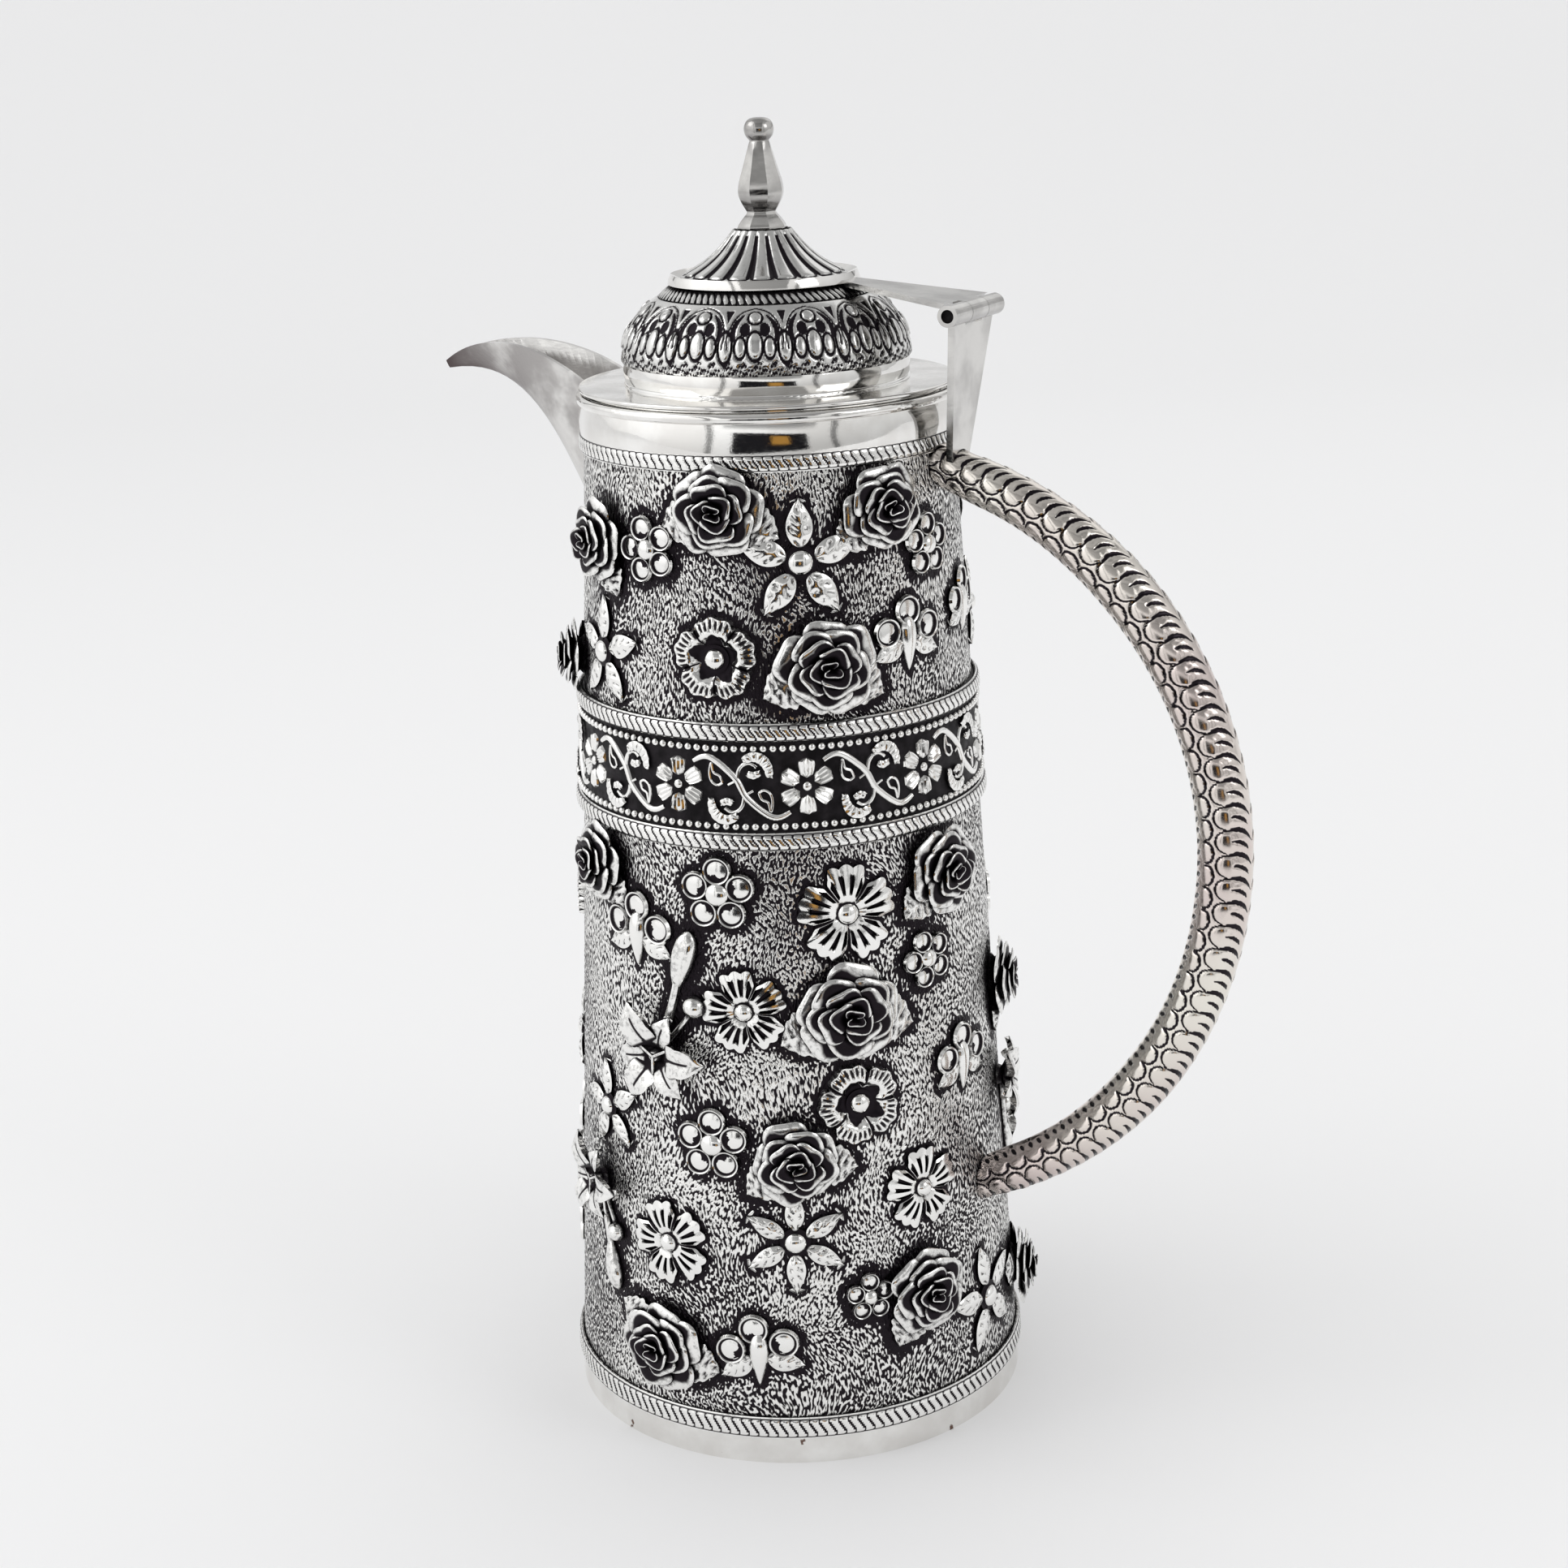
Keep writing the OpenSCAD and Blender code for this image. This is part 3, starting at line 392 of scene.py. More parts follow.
def stippled_silver(finish):
    """Punched ground: short bright strokes on black, fewer of them close to the flowers, where
    painted shade and patina darken it.
    """
    n = Metal("stippled silver")
    x, y, z = n.parts(n.place)
    around = n.times(n.math("ARCTAN2", y, x), wall_radius(0.13))
    wall = n.add("ShaderNodeCombineXYZ", {"X": around, "Y": z}).outputs[0]
    drift = n.add("ShaderNodeTexNoise", {"Vector": wall, "Scale": 55, "Detail": 1}).outputs["Color"]
    links = {0: drift, 1: (STROKE_DRIFT, STROKE_DRIFT, 0), 2: wall}
    wall = n.add("ShaderNodeVectorMath", links, operation="MULTIPLY_ADD").outputs[0]
    links = {"Vector": wall, "Rotation": (0, 0, STROKE_SLANT), "Scale": (1, STROKE_STRETCH, 1)}
    strokes = n.add("ShaderNodeMapping", links).outputs[0]
    links = {"Vector": strokes, "Scale": 2000, "Detail": 0.8, "Roughness": 0.4}
    grain = n.add("ShaderNodeTexNoise", links).outputs["Fac"]
    # Painted shade and patina: the ground goes black close round the flowers, wider round the tall
    # ones.
    near = n.span(n.attribute("soot"), 0.0, 0.8, 0, 0.26)
    soot = n.math("ADD", near, n.span(n.noise(38, 3), 0.3, 0.72, -0.05, 0.045))
    share = n.span(n.math("SUBTRACT", grain, soot), 0.455, 0.545, 0, 1)
    colour = n.mix(share, finish.patina, finish.bright)
    relief = n.bump(n.span(grain, 0.36, 0.64, 0, 1), 0.24 * MM, 0.7)
    return n.finished(colour, n.span(share, 0, 1, 0.5, 0.24), relief)


def blackened_silver():
    """Sunk ground that is left black."""
    n = Metal("blackened silver", metallic=0.6)
    n.shader.inputs["Specular IOR Level"].default_value = 0.2
    cloud = n.span(n.noise(260, 3), 0.35, 0.7, 0, 1)
    colour = n.mix(cloud, (0.007, 0.006, 0.007), (0.022, 0.019, 0.022))
    grain = n.bump(n.noise(1800, 3), 0.04 * MM, 0.6)
    return n.finished(colour, n.span(n.noise(500), 0.3, 0.7, 0.42, 0.6), grain)


def handle_silver(finish):
    """Engraved silver with a faint warm tarnish."""
    n = Metal("engraved silver")
    warm = n.span(n.noise(26, 2), 0.35, 0.75, 0, 1)
    tint = n.mix(warm, (0.72, 0.63, 0.60), (0.86, 0.83, 0.76))
    share = n.times(n.span(n.hollow(1.0 * MM, 1.4), 0.35, 0.8, 0, 1), n.unmarked())
    rubbed = n.span(n.noise(600, 3), 0.3, 0.7, 0.13, 0.24)
    wave = n.bump(n.noise(300, 2), 0.12 * MM, 0.4)
    return n.finished(n.mix(share, finish.patina, tint), rubbed, wave)


# ---- Shared shapes, all facing -Y, with the wall at y = 0 ----

def sheet(name, across, up, rule):
    """A grid whose points follow a rule of u from -1 to 1 and v from 0 to 1."""
    piece = add(
        name, bpy.ops.mesh.primitive_grid_add, x_subdivisions=across, y_subdivisions=up, size=2,
        rotation=(-FRONT, 0, 0),
    )
    return shape(piece, lambda x, y, z: rule(x, clamp((z + 1) / 2)))


def mark(piece, name, values):
    """Keeps one number for each vertex, for a material to read."""
    layer = piece.data.attributes.new(name, "FLOAT", "POINT")
    layer.data.foreach_set("value", values)
    return piece


def inked_sheet(name, across, up, rule):
    """A grid whose rule gives each point's place and its share of black."""
    blacks = []

    def point(u, v):
        place, black = rule(u, v)
        blacks.append(black)
        return place

    return mark(sheet(name, across, up, point), "black", blacks)


def thicken(piece, depth):
    """Gives a sheet a back and sides, away from its face."""
    return modify(piece, "SOLIDIFY", thickness=depth, offset=-1)


def closed_band(piece, gap, thick, angle):
    """Joins the two ends of a sheet that runs round the pot, and gives it a back."""
    merge(piece, gap)
    piece.data.flip_normals()
    return smooth(thicken(piece, thick), angle)


def closed_tube(piece, gap, angle):
    """Joins the seam of a tube and closes its ends."""
    merge(piece, gap)
    in_edit(piece, "EDGE")
    bpy.ops.mesh.select_non_manifold(extend=False)
    bpy.ops.mesh.edge_face_add()
    out_of_edit()
    return smooth(outward(piece), angle)


def round_sheet(name, sides, rings, rule):
    """A disc or ring, whose rule of an angle and a share of the way out gives a radius, a rise
    and a share of black."""
    def point(u, v):
        angle = u * math.pi
        radius, rise, black = rule(angle, v)
        return (radius * math.cos(angle), -rise, radius * math.sin(angle)), black

    piece = merge(inked_sheet(name, sides, rings, point), 0.004 * MM)
    piece.data.flip_normals()
    return piece


def dished_disc(name, radius, rise):
    """A round petal along +X: a rounded rim, a black line inside it and a low bright dome."""
    rim = 0.84

    def rule(angle, v):
        line = min(1, max(0, 1 - abs(v - 0.73) / 0.09) * 2)
        root = math.cos(angle) * v < -0.34 + 0.12 * math.sin(3 * angle)
        edge = 1 - 0.5 * max(0, (v - rim) / 0.16) ** 2
        sunk = 0.46 * clamp((rim - v) / 0.12)
        dome = 0.18 * max(0, 1 - (v / 0.64) ** 2)
        black = max(line, float(root and v < 0.8))
        return radius * max(0.001, v), rise * (edge - sunk + dome), black

    return thicken(round_sheet(name, 26, 10, rule), rise + SUNK)


def domed_eye(radius):
    """A polished dome in a black ring, for the middle of a flower."""
    rise = FLAT_RISE * 2.0

    def rule(angle, v):
        dome = math.sqrt(max(0, 1 - (v / 0.72) ** 2))
        return radius * max(0.001, v), rise * (0.34 + 0.66 * dome), float(v > 0.70)

    return thicken(round_sheet("eye", 32, 14, rule), rise * 0.34 + SUNK)


def leaf(name, length, width, rise, notches=0, steps=20, veins=True):
    """A pointed leaf along +X with a rib, slanted veins and, if wanted, a notched edge."""
    def point(u, v):
        body = math.sin(math.pi * v ** 0.85)
        edge = 1 + (0.20 * abs(math.sin(math.pi * notches * v)) if notches else 0)
        vein = math.cos(TURN * (v * steps / 4.2 - abs(u) * 0.9))
        cut = veins and vein < -0.60 and 0.2 < abs(u) < 0.8 and 0.12 < v < 0.9
        root = max(0, 0.16 - v) / 0.16
        fold = 0.8 * (not veins and abs(u) < 0.12 and v < 0.72)
        throat = (not veins) * max(0, 0.34 - v) / 0.12
        lift = rise * (1 - 0.45 * abs(u) ** 2 - 0.25 * cut) * (0.55 + 0.45 * body)
        place = (length * v, -lift, u * width / 2 * body * edge)
        return place, max(0.5 * cut, root, fold, throat)

    piece = inked_sheet(name, 10, steps, point)
    piece.data.flip_normals()
    thicken(piece, rise + 0.4 * MM)
    return merge(piece, 0.01 * MM)


def tilt(piece, degrees):
    """Turns a piece in the plane of the wall."""
    piece.data.transform(Matrix.Rotation(math.radians(-degrees), 4, "Y"))
    return piece


def turned(piece, degrees, out=0.0):
    """A copy turned in the plane of the wall, after a move outwards along X."""
    return stamp(
        piece, Matrix.Rotation(math.radians(-degrees), 4, "Y") @ Matrix.Translation((out, 0, 0))
    )


def wire(name, points, radius, flat=1.0, taper=None):
    """A smooth wire through points given as (x, z), lying on the wall."""
    clear_selection()
    curve = bpy.data.curves.new(name, "CURVE")
    curve.dimensions = "3D"
    spline = curve.splines.new("NURBS")
    spline.points.add(len(points) - 1)
    for i, (x, z) in enumerate(points):
        spline.points[i].co = (x, 0, z, 1)
        spline.points[i].radius = taper(i / (len(points) - 1)) if taper else 1
    spline.use_endpoint_u = True
    spline.order_u = 4
    curve.bevel_depth = radius
    curve.bevel_resolution = 2
    curve.resolution_u = 4
    curve.use_fill_caps = True
    piece = bpy.data.objects.new(name, curve)
    bpy.context.scene.collection.objects.link(piece)
    only(piece)
    bpy.ops.object.convert(target="MESH")
    piece = bpy.context.object
    piece.data.transform(Matrix.Diagonal((1, flat, 1, 1)))
    return piece


# ---- Ground and bands ----

PUNCH_MARK = 1.25 * MM           # size of one punch mark
TICK_DEPTH = 0.22 * MM           # depth of the cuts and lines in a ticked band


def stippled_ground(name, z0, z1, pitch, stand, depth):
    """A punched sheet round the wall between two heights."""
    radius = wall_radius(z0)
    tall = (z1 - z0) / math.cos(WALL_LEAN)
    piece = sheet(
        name, round(TURN * radius / pitch), round(tall / pitch),
        lambda u, v: (u * math.pi * radius, -stand, v * tall),
    )
    band_on_wall(piece, z0, radius, WALL_LEAN)
    merge(piece, 0.02 * MM)
    marks = bpy.data.textures.new("punch marks", "VORONOI")
    marks.noise_scale = PUNCH_MARK
    marks.noise_intensity = 1.0
    modify(piece, "DISPLACE", texture=marks, strength=depth, mid_level=0.45, texture_coords="LOCAL")
    in_edit(piece, "EDGE")
    bpy.ops.mesh.select_non_manifold(extend=False)
    bpy.ops.mesh.extrude_region_move()
    shrink = 1 - SUNK / radius
    bpy.ops.transform.resize(value=(shrink, shrink, 1), center_override=(0, 0, 0))
    bpy.ops.mesh.bridge_edge_loops()
    out_of_edit()
    return smooth(outward(piece), 60)


def ticked_band(name, z, tall, stand, count, slant):
    """A smooth band round the wall with a row of short slanted cuts between two fine lines."""
    step = TURN * wall_radius(z) / count

    def point(u, v):
        x = u * math.pi * wall_radius(z)
        off = 0.5 - abs((x - slant * (v - 0.5) * tall) / step % 1 - 0.5)
        side = abs(2 * v - 1)                                # 0 at mid height, 1 at an edge
        taper = max(0, 1 - (side / 0.74) ** 3)
        cut = min(1, (0.22 * taper - off) / 0.07 + 0.5) if taper else 0
        line = 0.62 - abs(side - 0.80) / 0.1
        black = max(0, cut, line)
        reach = wall_radius(z) - tall * v * math.tan(WALL_LEAN)
        reach += stand * (1 - 0.45 * (2 * v - 1) ** 6)
        reach -= TICK_DEPTH * black
        angle = u * math.pi
        return (reach * math.cos(angle), reach * math.sin(angle), z + tall * v), black

    return closed_band(inked_sheet(name, count * 7, 10, point), 0.01 * MM, SUNK, 50)


def strand_band(name, z, tall, stand, count, share, slant, lean, radius):
    """Slanted strands side by side round a band."""
    step = TURN * radius / count
    piece = add(name, bpy.ops.mesh.primitive_cube_add, size=1)
    in_edit(piece)
    bpy.ops.mesh.select_all(action="SELECT")
    bpy.ops.mesh.subdivide(number_cuts=2)
    out_of_edit()

    def point(x, y, z):
        round_side = 1 - 0.5 * (2 * x) ** 2
        round_end = 1 - 0.35 * (2 * z) ** 4
        return (
            x * step * share * (1 - 0.25 * (2 * z) ** 4) + slant * z * tall,
            -stand * round_side * round_end if y < 0 else 0.3 * MM,
            (z + 0.5) * tall,
        )

    shape(piece, point)
    row(piece, count, step)
    piece.data.transform(Matrix.Translation((-step * (count - 1) / 2, 0, 0)))
    band_on_wall(piece, z, radius, lean)
    return smooth(piece, 50)


# ---- Engraved sheets ----

def off_line(x, y, line):
    """Distance from a point to a line of points, and the share of the way along it."""
    best = (1e9, 0.0)
    last = len(line) - 1
    for i in range(last):
        (ax, ay), (bx, by) = line[i], line[i + 1]
        dx, dy = bx - ax, by - ay
        t = clamp(((x - ax) * dx + (y - ay) * dy) / (dx * dx + dy * dy))
        best = min(best, (math.hypot(x - ax - t * dx, y - ay - t * dy), (i + t) / last))
    return best


def curved(points, steps):
    """A smooth line through three or more points."""
    line = []
    ends = [points[0], *points, points[-1]]
    for i in range(1, len(ends) - 2):
        a, b, c, d = ends[i - 1:i + 3]
        for k in range(steps):
            t = k / steps
            line.append(tuple(
                0.5 * (
                    2 * b[n] + (c[n] - a[n]) * t
                    + (2 * a[n] - 5 * b[n] + 4 * c[n] - d[n]) * t ** 2
                    + (3 * b[n] - a[n] - 3 * c[n] + d[n]) * t ** 3
                )
                for n in (0, 1)
            ))
    return [*line, points[-1]]


def stretch_at(line, v):
    """The two points between which a share of the way along a line falls, and the share left."""
    i = min(len(line) - 2, int(v * (len(line) - 1)))
    return line[i], line[i + 1], v * (len(line) - 1) - i


CUT_EDGE = 0.14                  # width over which the edge of a cut fades, in mm


def cut_share(gap, half):
    """1 inside a cut and 0 outside, at a distance from its middle, in mm."""
    return clamp((half - gap) / CUT_EDGE + 0.5)


def cut_by(x, y, line, width, point):
    """The share of a graver's cut along a line, which narrows towards its ends."""
    gap, along = off_line(x, y, line)
    return cut_share(gap, width / 2 * (1 - (1 - point) * abs(2 * along - 1) ** 2))


def engraved(name, wide, tall, step, rule):
    """A flat unit, wide x tall in mm, whose rule gives the rise in mm and the share of black."""
    def point(u, v):
        x, z = u * wide / 2, v * tall
        rise, black = rule(x, z)
        return (x * MM, -rise * MM, z * MM), black

    return inked_sheet(name, round(wide / step), round(tall / step), point)


def bump_at(x, z, cx, cz, rx, rz):
    """Height of a pillow at a point, 1 in its middle and 0 on its edge and beyond."""
    far = ((x - cx) / rx) ** 2 + ((z - cz) / rz) ** 2
    return math.sqrt(max(0, 1 - far))


def ring_cut(x, z, cx, cz, rx, rz, width):
    """1 on the outline of an oval and 0 away from it."""
    far = math.hypot((x - cx) / rx, (z - cz) / rz)
    return cut_share(abs(far - 1) * min(rx, rz), width / 2)


DOME_UNITS = 15
DOME_TALL = 16.9                 # from foot to ring along the dome's rounding, in mm
DOME_AROUND = 196                # round the dome at its foot, in mm
DOME_ROUNDING = 15.2 * MM
DOME_STEP = 0.29                 # spacing of the mesh, in mm


def dome_rule(x, z):
    """One arch of the dome, in mm, with its ring, its two eyes and its hanging leaves."""
    side = abs(x)
    half = DOME_AROUND / DOME_UNITS / 2
    arch = curved([(6.0, 5.6), (6.1, 8.6), (5.2, 11.8), (3.2, 14.3), (0, 15.5)], 5)
    inner = curved([(4.2, 6.6), (5.0, 9.0), (4.3, 11.6), (2.6, 13.6)], 5)
    black = max(
        cut_by(side, z, arch, 0.34, 0.8),
        cut_by(side, z, inner, 1.15, 0.1),
        ring_cut(x, z, 0, 12.7, 1.75, 1.65, 0.42),
        ring_cut(x, z, 0, 6.3, 1.75, 3.1, 0.40),
        ring_cut(side, z, 3.2, 5.9, 1.25, 2.3, 0.36),
        ring_cut(side, z, half, 6.0, 1.5, 3.4, 0.40),
    )
    eye = bump_at(side, z, 2.25, 9.9, 1.25, 1.6)
    black = max(black, min(1, eye * 2.4))
    fringe = clamp((2.7 - z + 0.8 * math.sin(TURN * x / half * 2)) / 0.5)
    rows = 1.5 * math.sin(5.2 * x + 1.3 * z)
    grain = clamp(0.35 + rows * math.sin(4.6 * z + 1.9 * math.sin(3.1 * x)))
    wedge = clamp((side - 6.05 + (z - 12.4) * 0.35) / 0.3) * (9.6 < z < 14.6)
    black = max(black, fringe * grain, 0.9 * wedge)
    leafy = max(
        0.55 * bump_at(x, z, 0, 12.7, 1.6, 1.5), 0.62 * bump_at(x, z, 0, 6.3, 1.65, 3.0),
        0.5 * bump_at(side, z, 3.2, 5.9, 1.15, 2.2), 0.6 * bump_at(side, z, half, 6.0, 1.4, 3.3),
    )
    rise = 0.40 + leafy * 0.8 - 0.32 * black
    return rise * min(1, z / 0.5, (DOME_TALL - z) / 0.4), black


def dome_skin():
    """The chased dome: one arch repeated round the lid, bent over the dome's rounding."""
    foot = low("lid_dome").z
    radius = high("lid_dome").y
    wide = TURN * radius / DOME_UNITS
    piece = engraved("dome_skin", wide / MM, DOME_TALL, DOME_STEP, dome_rule)
    row(piece, DOME_UNITS, wide)
    piece.data.transform(Matrix.Translation((-wide * (DOME_UNITS - 1) / 2, 0, 0)))
    merge(piece, 0.02 * MM)
    bend(piece, DOME_ROUNDING, "X")
    bend(piece, radius)
    piece.data.transform(Matrix.Translation((0, -radius, foot)))
    merge(piece, 0.05 * MM)
    return smooth(thicken(piece, 0.4 * MM), 60)


CONE_PETALS = 20
CONE_EDGE = 17.9 * MM            # radius of the cone at its foot
CONE_TIP = 6.0 * MM              # radius of the cone under the finial


def cone_skin():
    """The fluted cone: rounded petals with black grooves and scalloped feet."""
    foot, top = low("lid_cone").z, high("lid_cone").z
    edge_z = foot + 1.6 * MM
    tall = top - edge_z

    def surface(v):
        """Radius and height along the slope, which is hollow."""
        sag = 1.15 * MM * math.sin(math.pi * v)
        return CONE_EDGE + (CONE_TIP - CONE_EDGE) * v - sag * 0.62, edge_z + tall * v - sag * 0.78

    def point(u, v):
        angle = u * math.pi
        petal = abs((u * CONE_PETALS / 2) % 1 - 0.5) * 2          # 0 in the middle, 1 in a groove
        scallop = 0.055 + 0.075 * petal ** 3
        wide_at = clamp((v - scallop) / 0.05)
        groove = max(0, (petal - (0.56 - 0.16 * v)) / (0.30 + 0.20 * v))
        lip = math.exp(-((v - scallop) / 0.028) ** 2)
        black = min(1, max(groove * 2.2 * wide_at * (v < 0.93), lip * (v > 0.02)))
        pillow = 0.45 * (1 - petal ** 2) * wide_at * (1 - 0.6 * v)
        lift = (pillow - 0.28 * black) * MM * 0.7
        reach, z = surface(v)
        reach += lift
        return (reach * math.cos(angle), reach * math.sin(angle), z + lift), black

    piece = inked_sheet("cone_skin", CONE_PETALS * 16, 40, point)
    return closed_band(piece, 0.01 * MM, 0.3 * MM, 60)


FINIAL_FLATS_TOP = 18.6          # height in mm at which the flats give way to the round knob
FINIAL_LINE = (                  # radius and height in mm
    (5.3, 0.0), (5.4, 1.1), (4.3, 2.6), (3.4, 3.6), (3.3, 4.1), (3.9, 5.1), (4.7, 6.6), (5.1, 8.2),
    (4.8, 10.4), (3.9, 13.2), (3.0, 16.2), (2.3, 18.2), (2.1, 18.8), (2.5, 19.3), (3.0, 20.1),
    (3.2, 21.3), (2.9, 22.4), (2.2, 23.2), (1.1, 23.55), (0.0, 23.6),
)


def finial_skin():
    """The turned finial: a foot, a pear with eight soft flats and a round knob."""
    foot = high("lid_cone").z - 0.1 * MM
    line = curved(FINIAL_LINE, 4)

    def point(u, v):
        near, far, t = stretch_at(line, v)
        radius = near[0] + (far[0] - near[0]) * t
        z = near[1] + (far[1] - near[1]) * t
        angle = u * math.pi
        flat = math.cos(math.pi / 8) / math.cos((angle % (math.pi / 4)) - math.pi / 8)
        if z < FINIAL_FLATS_TOP:
            radius *= 1 + 0.9 * (flat - 1) * min(1, (FINIAL_FLATS_TOP - z) / 2)
        return radius * MM * math.cos(angle), radius * MM * math.sin(angle), foot + z * MM

    return closed_tube(sheet("finial_skin", 64, 90, point), 0.004 * MM, 22)


def barrel_skin(name, radius_low, radius_high, z0, z1, swell, hammer=0.05 * MM, depth=0.5 * MM):
    """A hand-hammered band that swells a little between its two edges."""
    def point(u, v):
        angle = u * math.pi
        wave = hammer * math.sin(7 * angle + 3 * v) * math.sin(math.pi * v)
        reach = radius_low + (radius_high - radius_low) * v + swell * (1 - (2 * v - 1) ** 2) + wave
        return reach * math.cos(angle), reach * math.sin(angle), z0 + (z1 - z0) * v

    return closed_band(sheet(name, 180, 12, point), 0.004 * MM, depth, 50)


GRIP_PITCH = 5.1                 # length of one engraved unit along the grip, in mm
GRIP_SEAM = 13.7                 # place of the line between the two rows of cuts, in mm
GRIP_CUTS = tuple(               # lines in mm round and along the tube, width, point and shift
    (curved(points, 5), width, point, shift)
    for points, width, point, shift in (
        (((7.1, 0.0), (9.0, 0.8), (9.7, 2.4), (9.0, 4.0), (7.3, 4.9)), 0.50, 0.5, 0),
        (((7.4, 0.3), (5.0, 0.0), (2.6, 0.9), (0.2, 3.2)), 1.0, 0.0, 0),
        (((6.2, 2.4), (4.4, 2.6), (2.6, 3.6), (1.6, 4.6)), 0.8, 0.0, 0),
        (((13.0, 0.2), (11.0, 0.5), (10.2, 2.4), (11.0, 4.3), (12.6, 4.9)), 0.62, 0.4, 2.55),
        (((14.2, 0.0), (16.6, 1.3)), 1.0, 0.1, 0),
        (((14.4, 2.6), (16.7, 3.9)), 0.9, 0.1, 0),
        (((17.0, 1.2), (18.8, 2.1)), 0.7, 0.1, 0),
    )
)


def grip_rule(w, run):
    """Share of black at w mm round the tube from its outer line and run mm down the grip."""
    w = abs(w)
    black = 0.0
    for line, width, point, shift in GRIP_CUTS:
        z = (run - shift) % GRIP_PITCH
        reach = [x for x, _ in line]
        if min(reach) - 0.6 < w < max(reach) + 0.6:
            for place in (z, z - GRIP_PITCH):
                black = max(black, cut_by(w, place, line, width, point))
    seam = cut_share(abs(w - GRIP_SEAM), 0.16)
    pillow = max(
        bump_at(w, run % GRIP_PITCH, 7.4, 2.7, 2.2, 2.3),
        0.8 * bump_at(w, (run - 2.55) % GRIP_PITCH, 12.3, 2.5, 1.9, 2.3),
        0.5 * bump_at(w, run % GRIP_PITCH, 3.4, 2.9, 2.6, 1.6),
    )
    return max(black, 0.7 * seam), pillow


def grip_skin():
    """The engraved tube of the handle, along the same centre line as the frame's."""
    thick, root = 6.1 * MM, 5.3 * MM                         # tube radius on the hoop, at its ends
    upper, lower = 81.5 * MM, 89.5 * MM                      # radius of the two bends
    first, last = math.radians(70), math.radians(-63)        # angles at which the hoop ends
    middle = 138.3 * MM                                      # height of the widest place
    reach = high("handle_grip").x - thick
    length = upper * first - lower * last
    upper_root, lower_root = 12 * MM, 9 * MM
    total = upper_root + length + lower_root
    taper = 0.055                                            # how fast the straight roots narrow
    around, step = 116, 0.33 * MM                            # the mesh round and along the tube

    def on_tube(angle, tube, turn, back):
        """A point of the tube, on the hoop or so far back along the straight root at its end."""
        bend_r = upper if angle >= 0 else lower
        cx = reach - bend_r + bend_r * math.cos(angle) - back * abs(math.sin(angle))
        cz = middle + bend_r * math.sin(angle) + math.copysign(back, angle) * math.cos(angle)
        return (
            cx + tube * math.cos(turn) * math.cos(angle), tube * math.sin(turn),
            cz + tube * math.cos(turn) * math.sin(angle),
        )

    def to_wall(angle, turn):
        """Length of the straight root on one side of the tube, down to just inside the wall."""
        back = 8 * MM
        for _ in range(10):
            x, y, z = on_tube(angle, root - taper * back, turn, back)
            back += (math.hypot(x, y) - wall_radius(z) + 0.3 * MM) / abs(math.sin(angle))
        return back

    def point(u, v):
        run, turn, back = v * total - upper_root, u * math.pi, 0.0
        if run < 0:
            back = -run / upper_root * to_wall(first, turn)
            angle, run = first, -back
        elif run > length:
            back = (run - length) / lower_root * to_wall(last, turn)
            angle, run = last, length + back
        elif run < upper * first:
            angle = first - run / upper
        else:
            angle = (upper * first - run) / lower
        left = min(1, math.degrees(first - angle if angle >= 0 else angle - last) / 30)
        tube = root + (thick - root) * left * left * (3 - 2 * left) - taper * back
        black, pillow = grip_rule(u * math.pi * thick / MM, run / MM)
        tube += (0.34 * (pillow - 0.7) - 0.22 * black) * MM
        return on_tube(angle, tube, turn, back), black

    piece = inked_sheet("grip_skin", around, round(total / step), point)
    return closed_tube(piece, 0.01 * MM, 50)


# ---- Belt ----
# Lines of one scroll, as shares of half the belt's height from its middle.

BAR = ((-1.39, 0.72), (-1.12, 0.86), (-0.84, 0.84), (-0.45, 0.56), (-0.13, 0.25), (0, 0))
ARC = ((-0.1, 0.22), (-0.05, 0.5), (0.1, 0.68), (0.3, 0.72), (0.47, 0.6))
CRESCENT = ((0.08, 0.78), (0.36, 0.92), (0.64, 0.84), (0.8, 0.6), (0.84, 0.30))
CURL = ((0.22, 0.44), (0.38, 0.38), (0.58, 0.46))
DROP = (
    (0.52, -0.14), (0.66, -0.06), (0.84, -0.16), (0.90, -0.42), (0.84, -0.70), (0.78, -0.42),
    (0.6, -0.34), (0.52, -0.14),
)
SPUR = ((0.1, -0.22), (0.36, -0.08))
BELT_REPEATS = 10
BELT_TURN = -54.6                # turn of the first blossom round the pot, in degrees
BELT_HALF = 7.48 * MM            # half the height that a scroll fills
BELT_RISE = 0.62 * MM


def belt_petal(length, width, rise):
    """A ribbed petal along +X, broad at its end."""
    def point(u, v):
        body = (1 - (2 * v - 1) ** 4) ** 0.5 * (0.62 + 0.38 * v)
        ribs = 0.62 + 0.38 * math.cos(3.5 * math.pi * u)
        lift = rise * (0.35 + 0.65 * ribs * (1 - 0.3 * u * u)) * min(1, 6 * v, 6 * (1 - v) + 0.3)
        return length * v, -lift, u * width / 2 * max(body, 0.04)

    piece = sheet("belt petal", 14, 6, point)
    piece.data.flip_normals()
    return thicken(piece, SUNK)


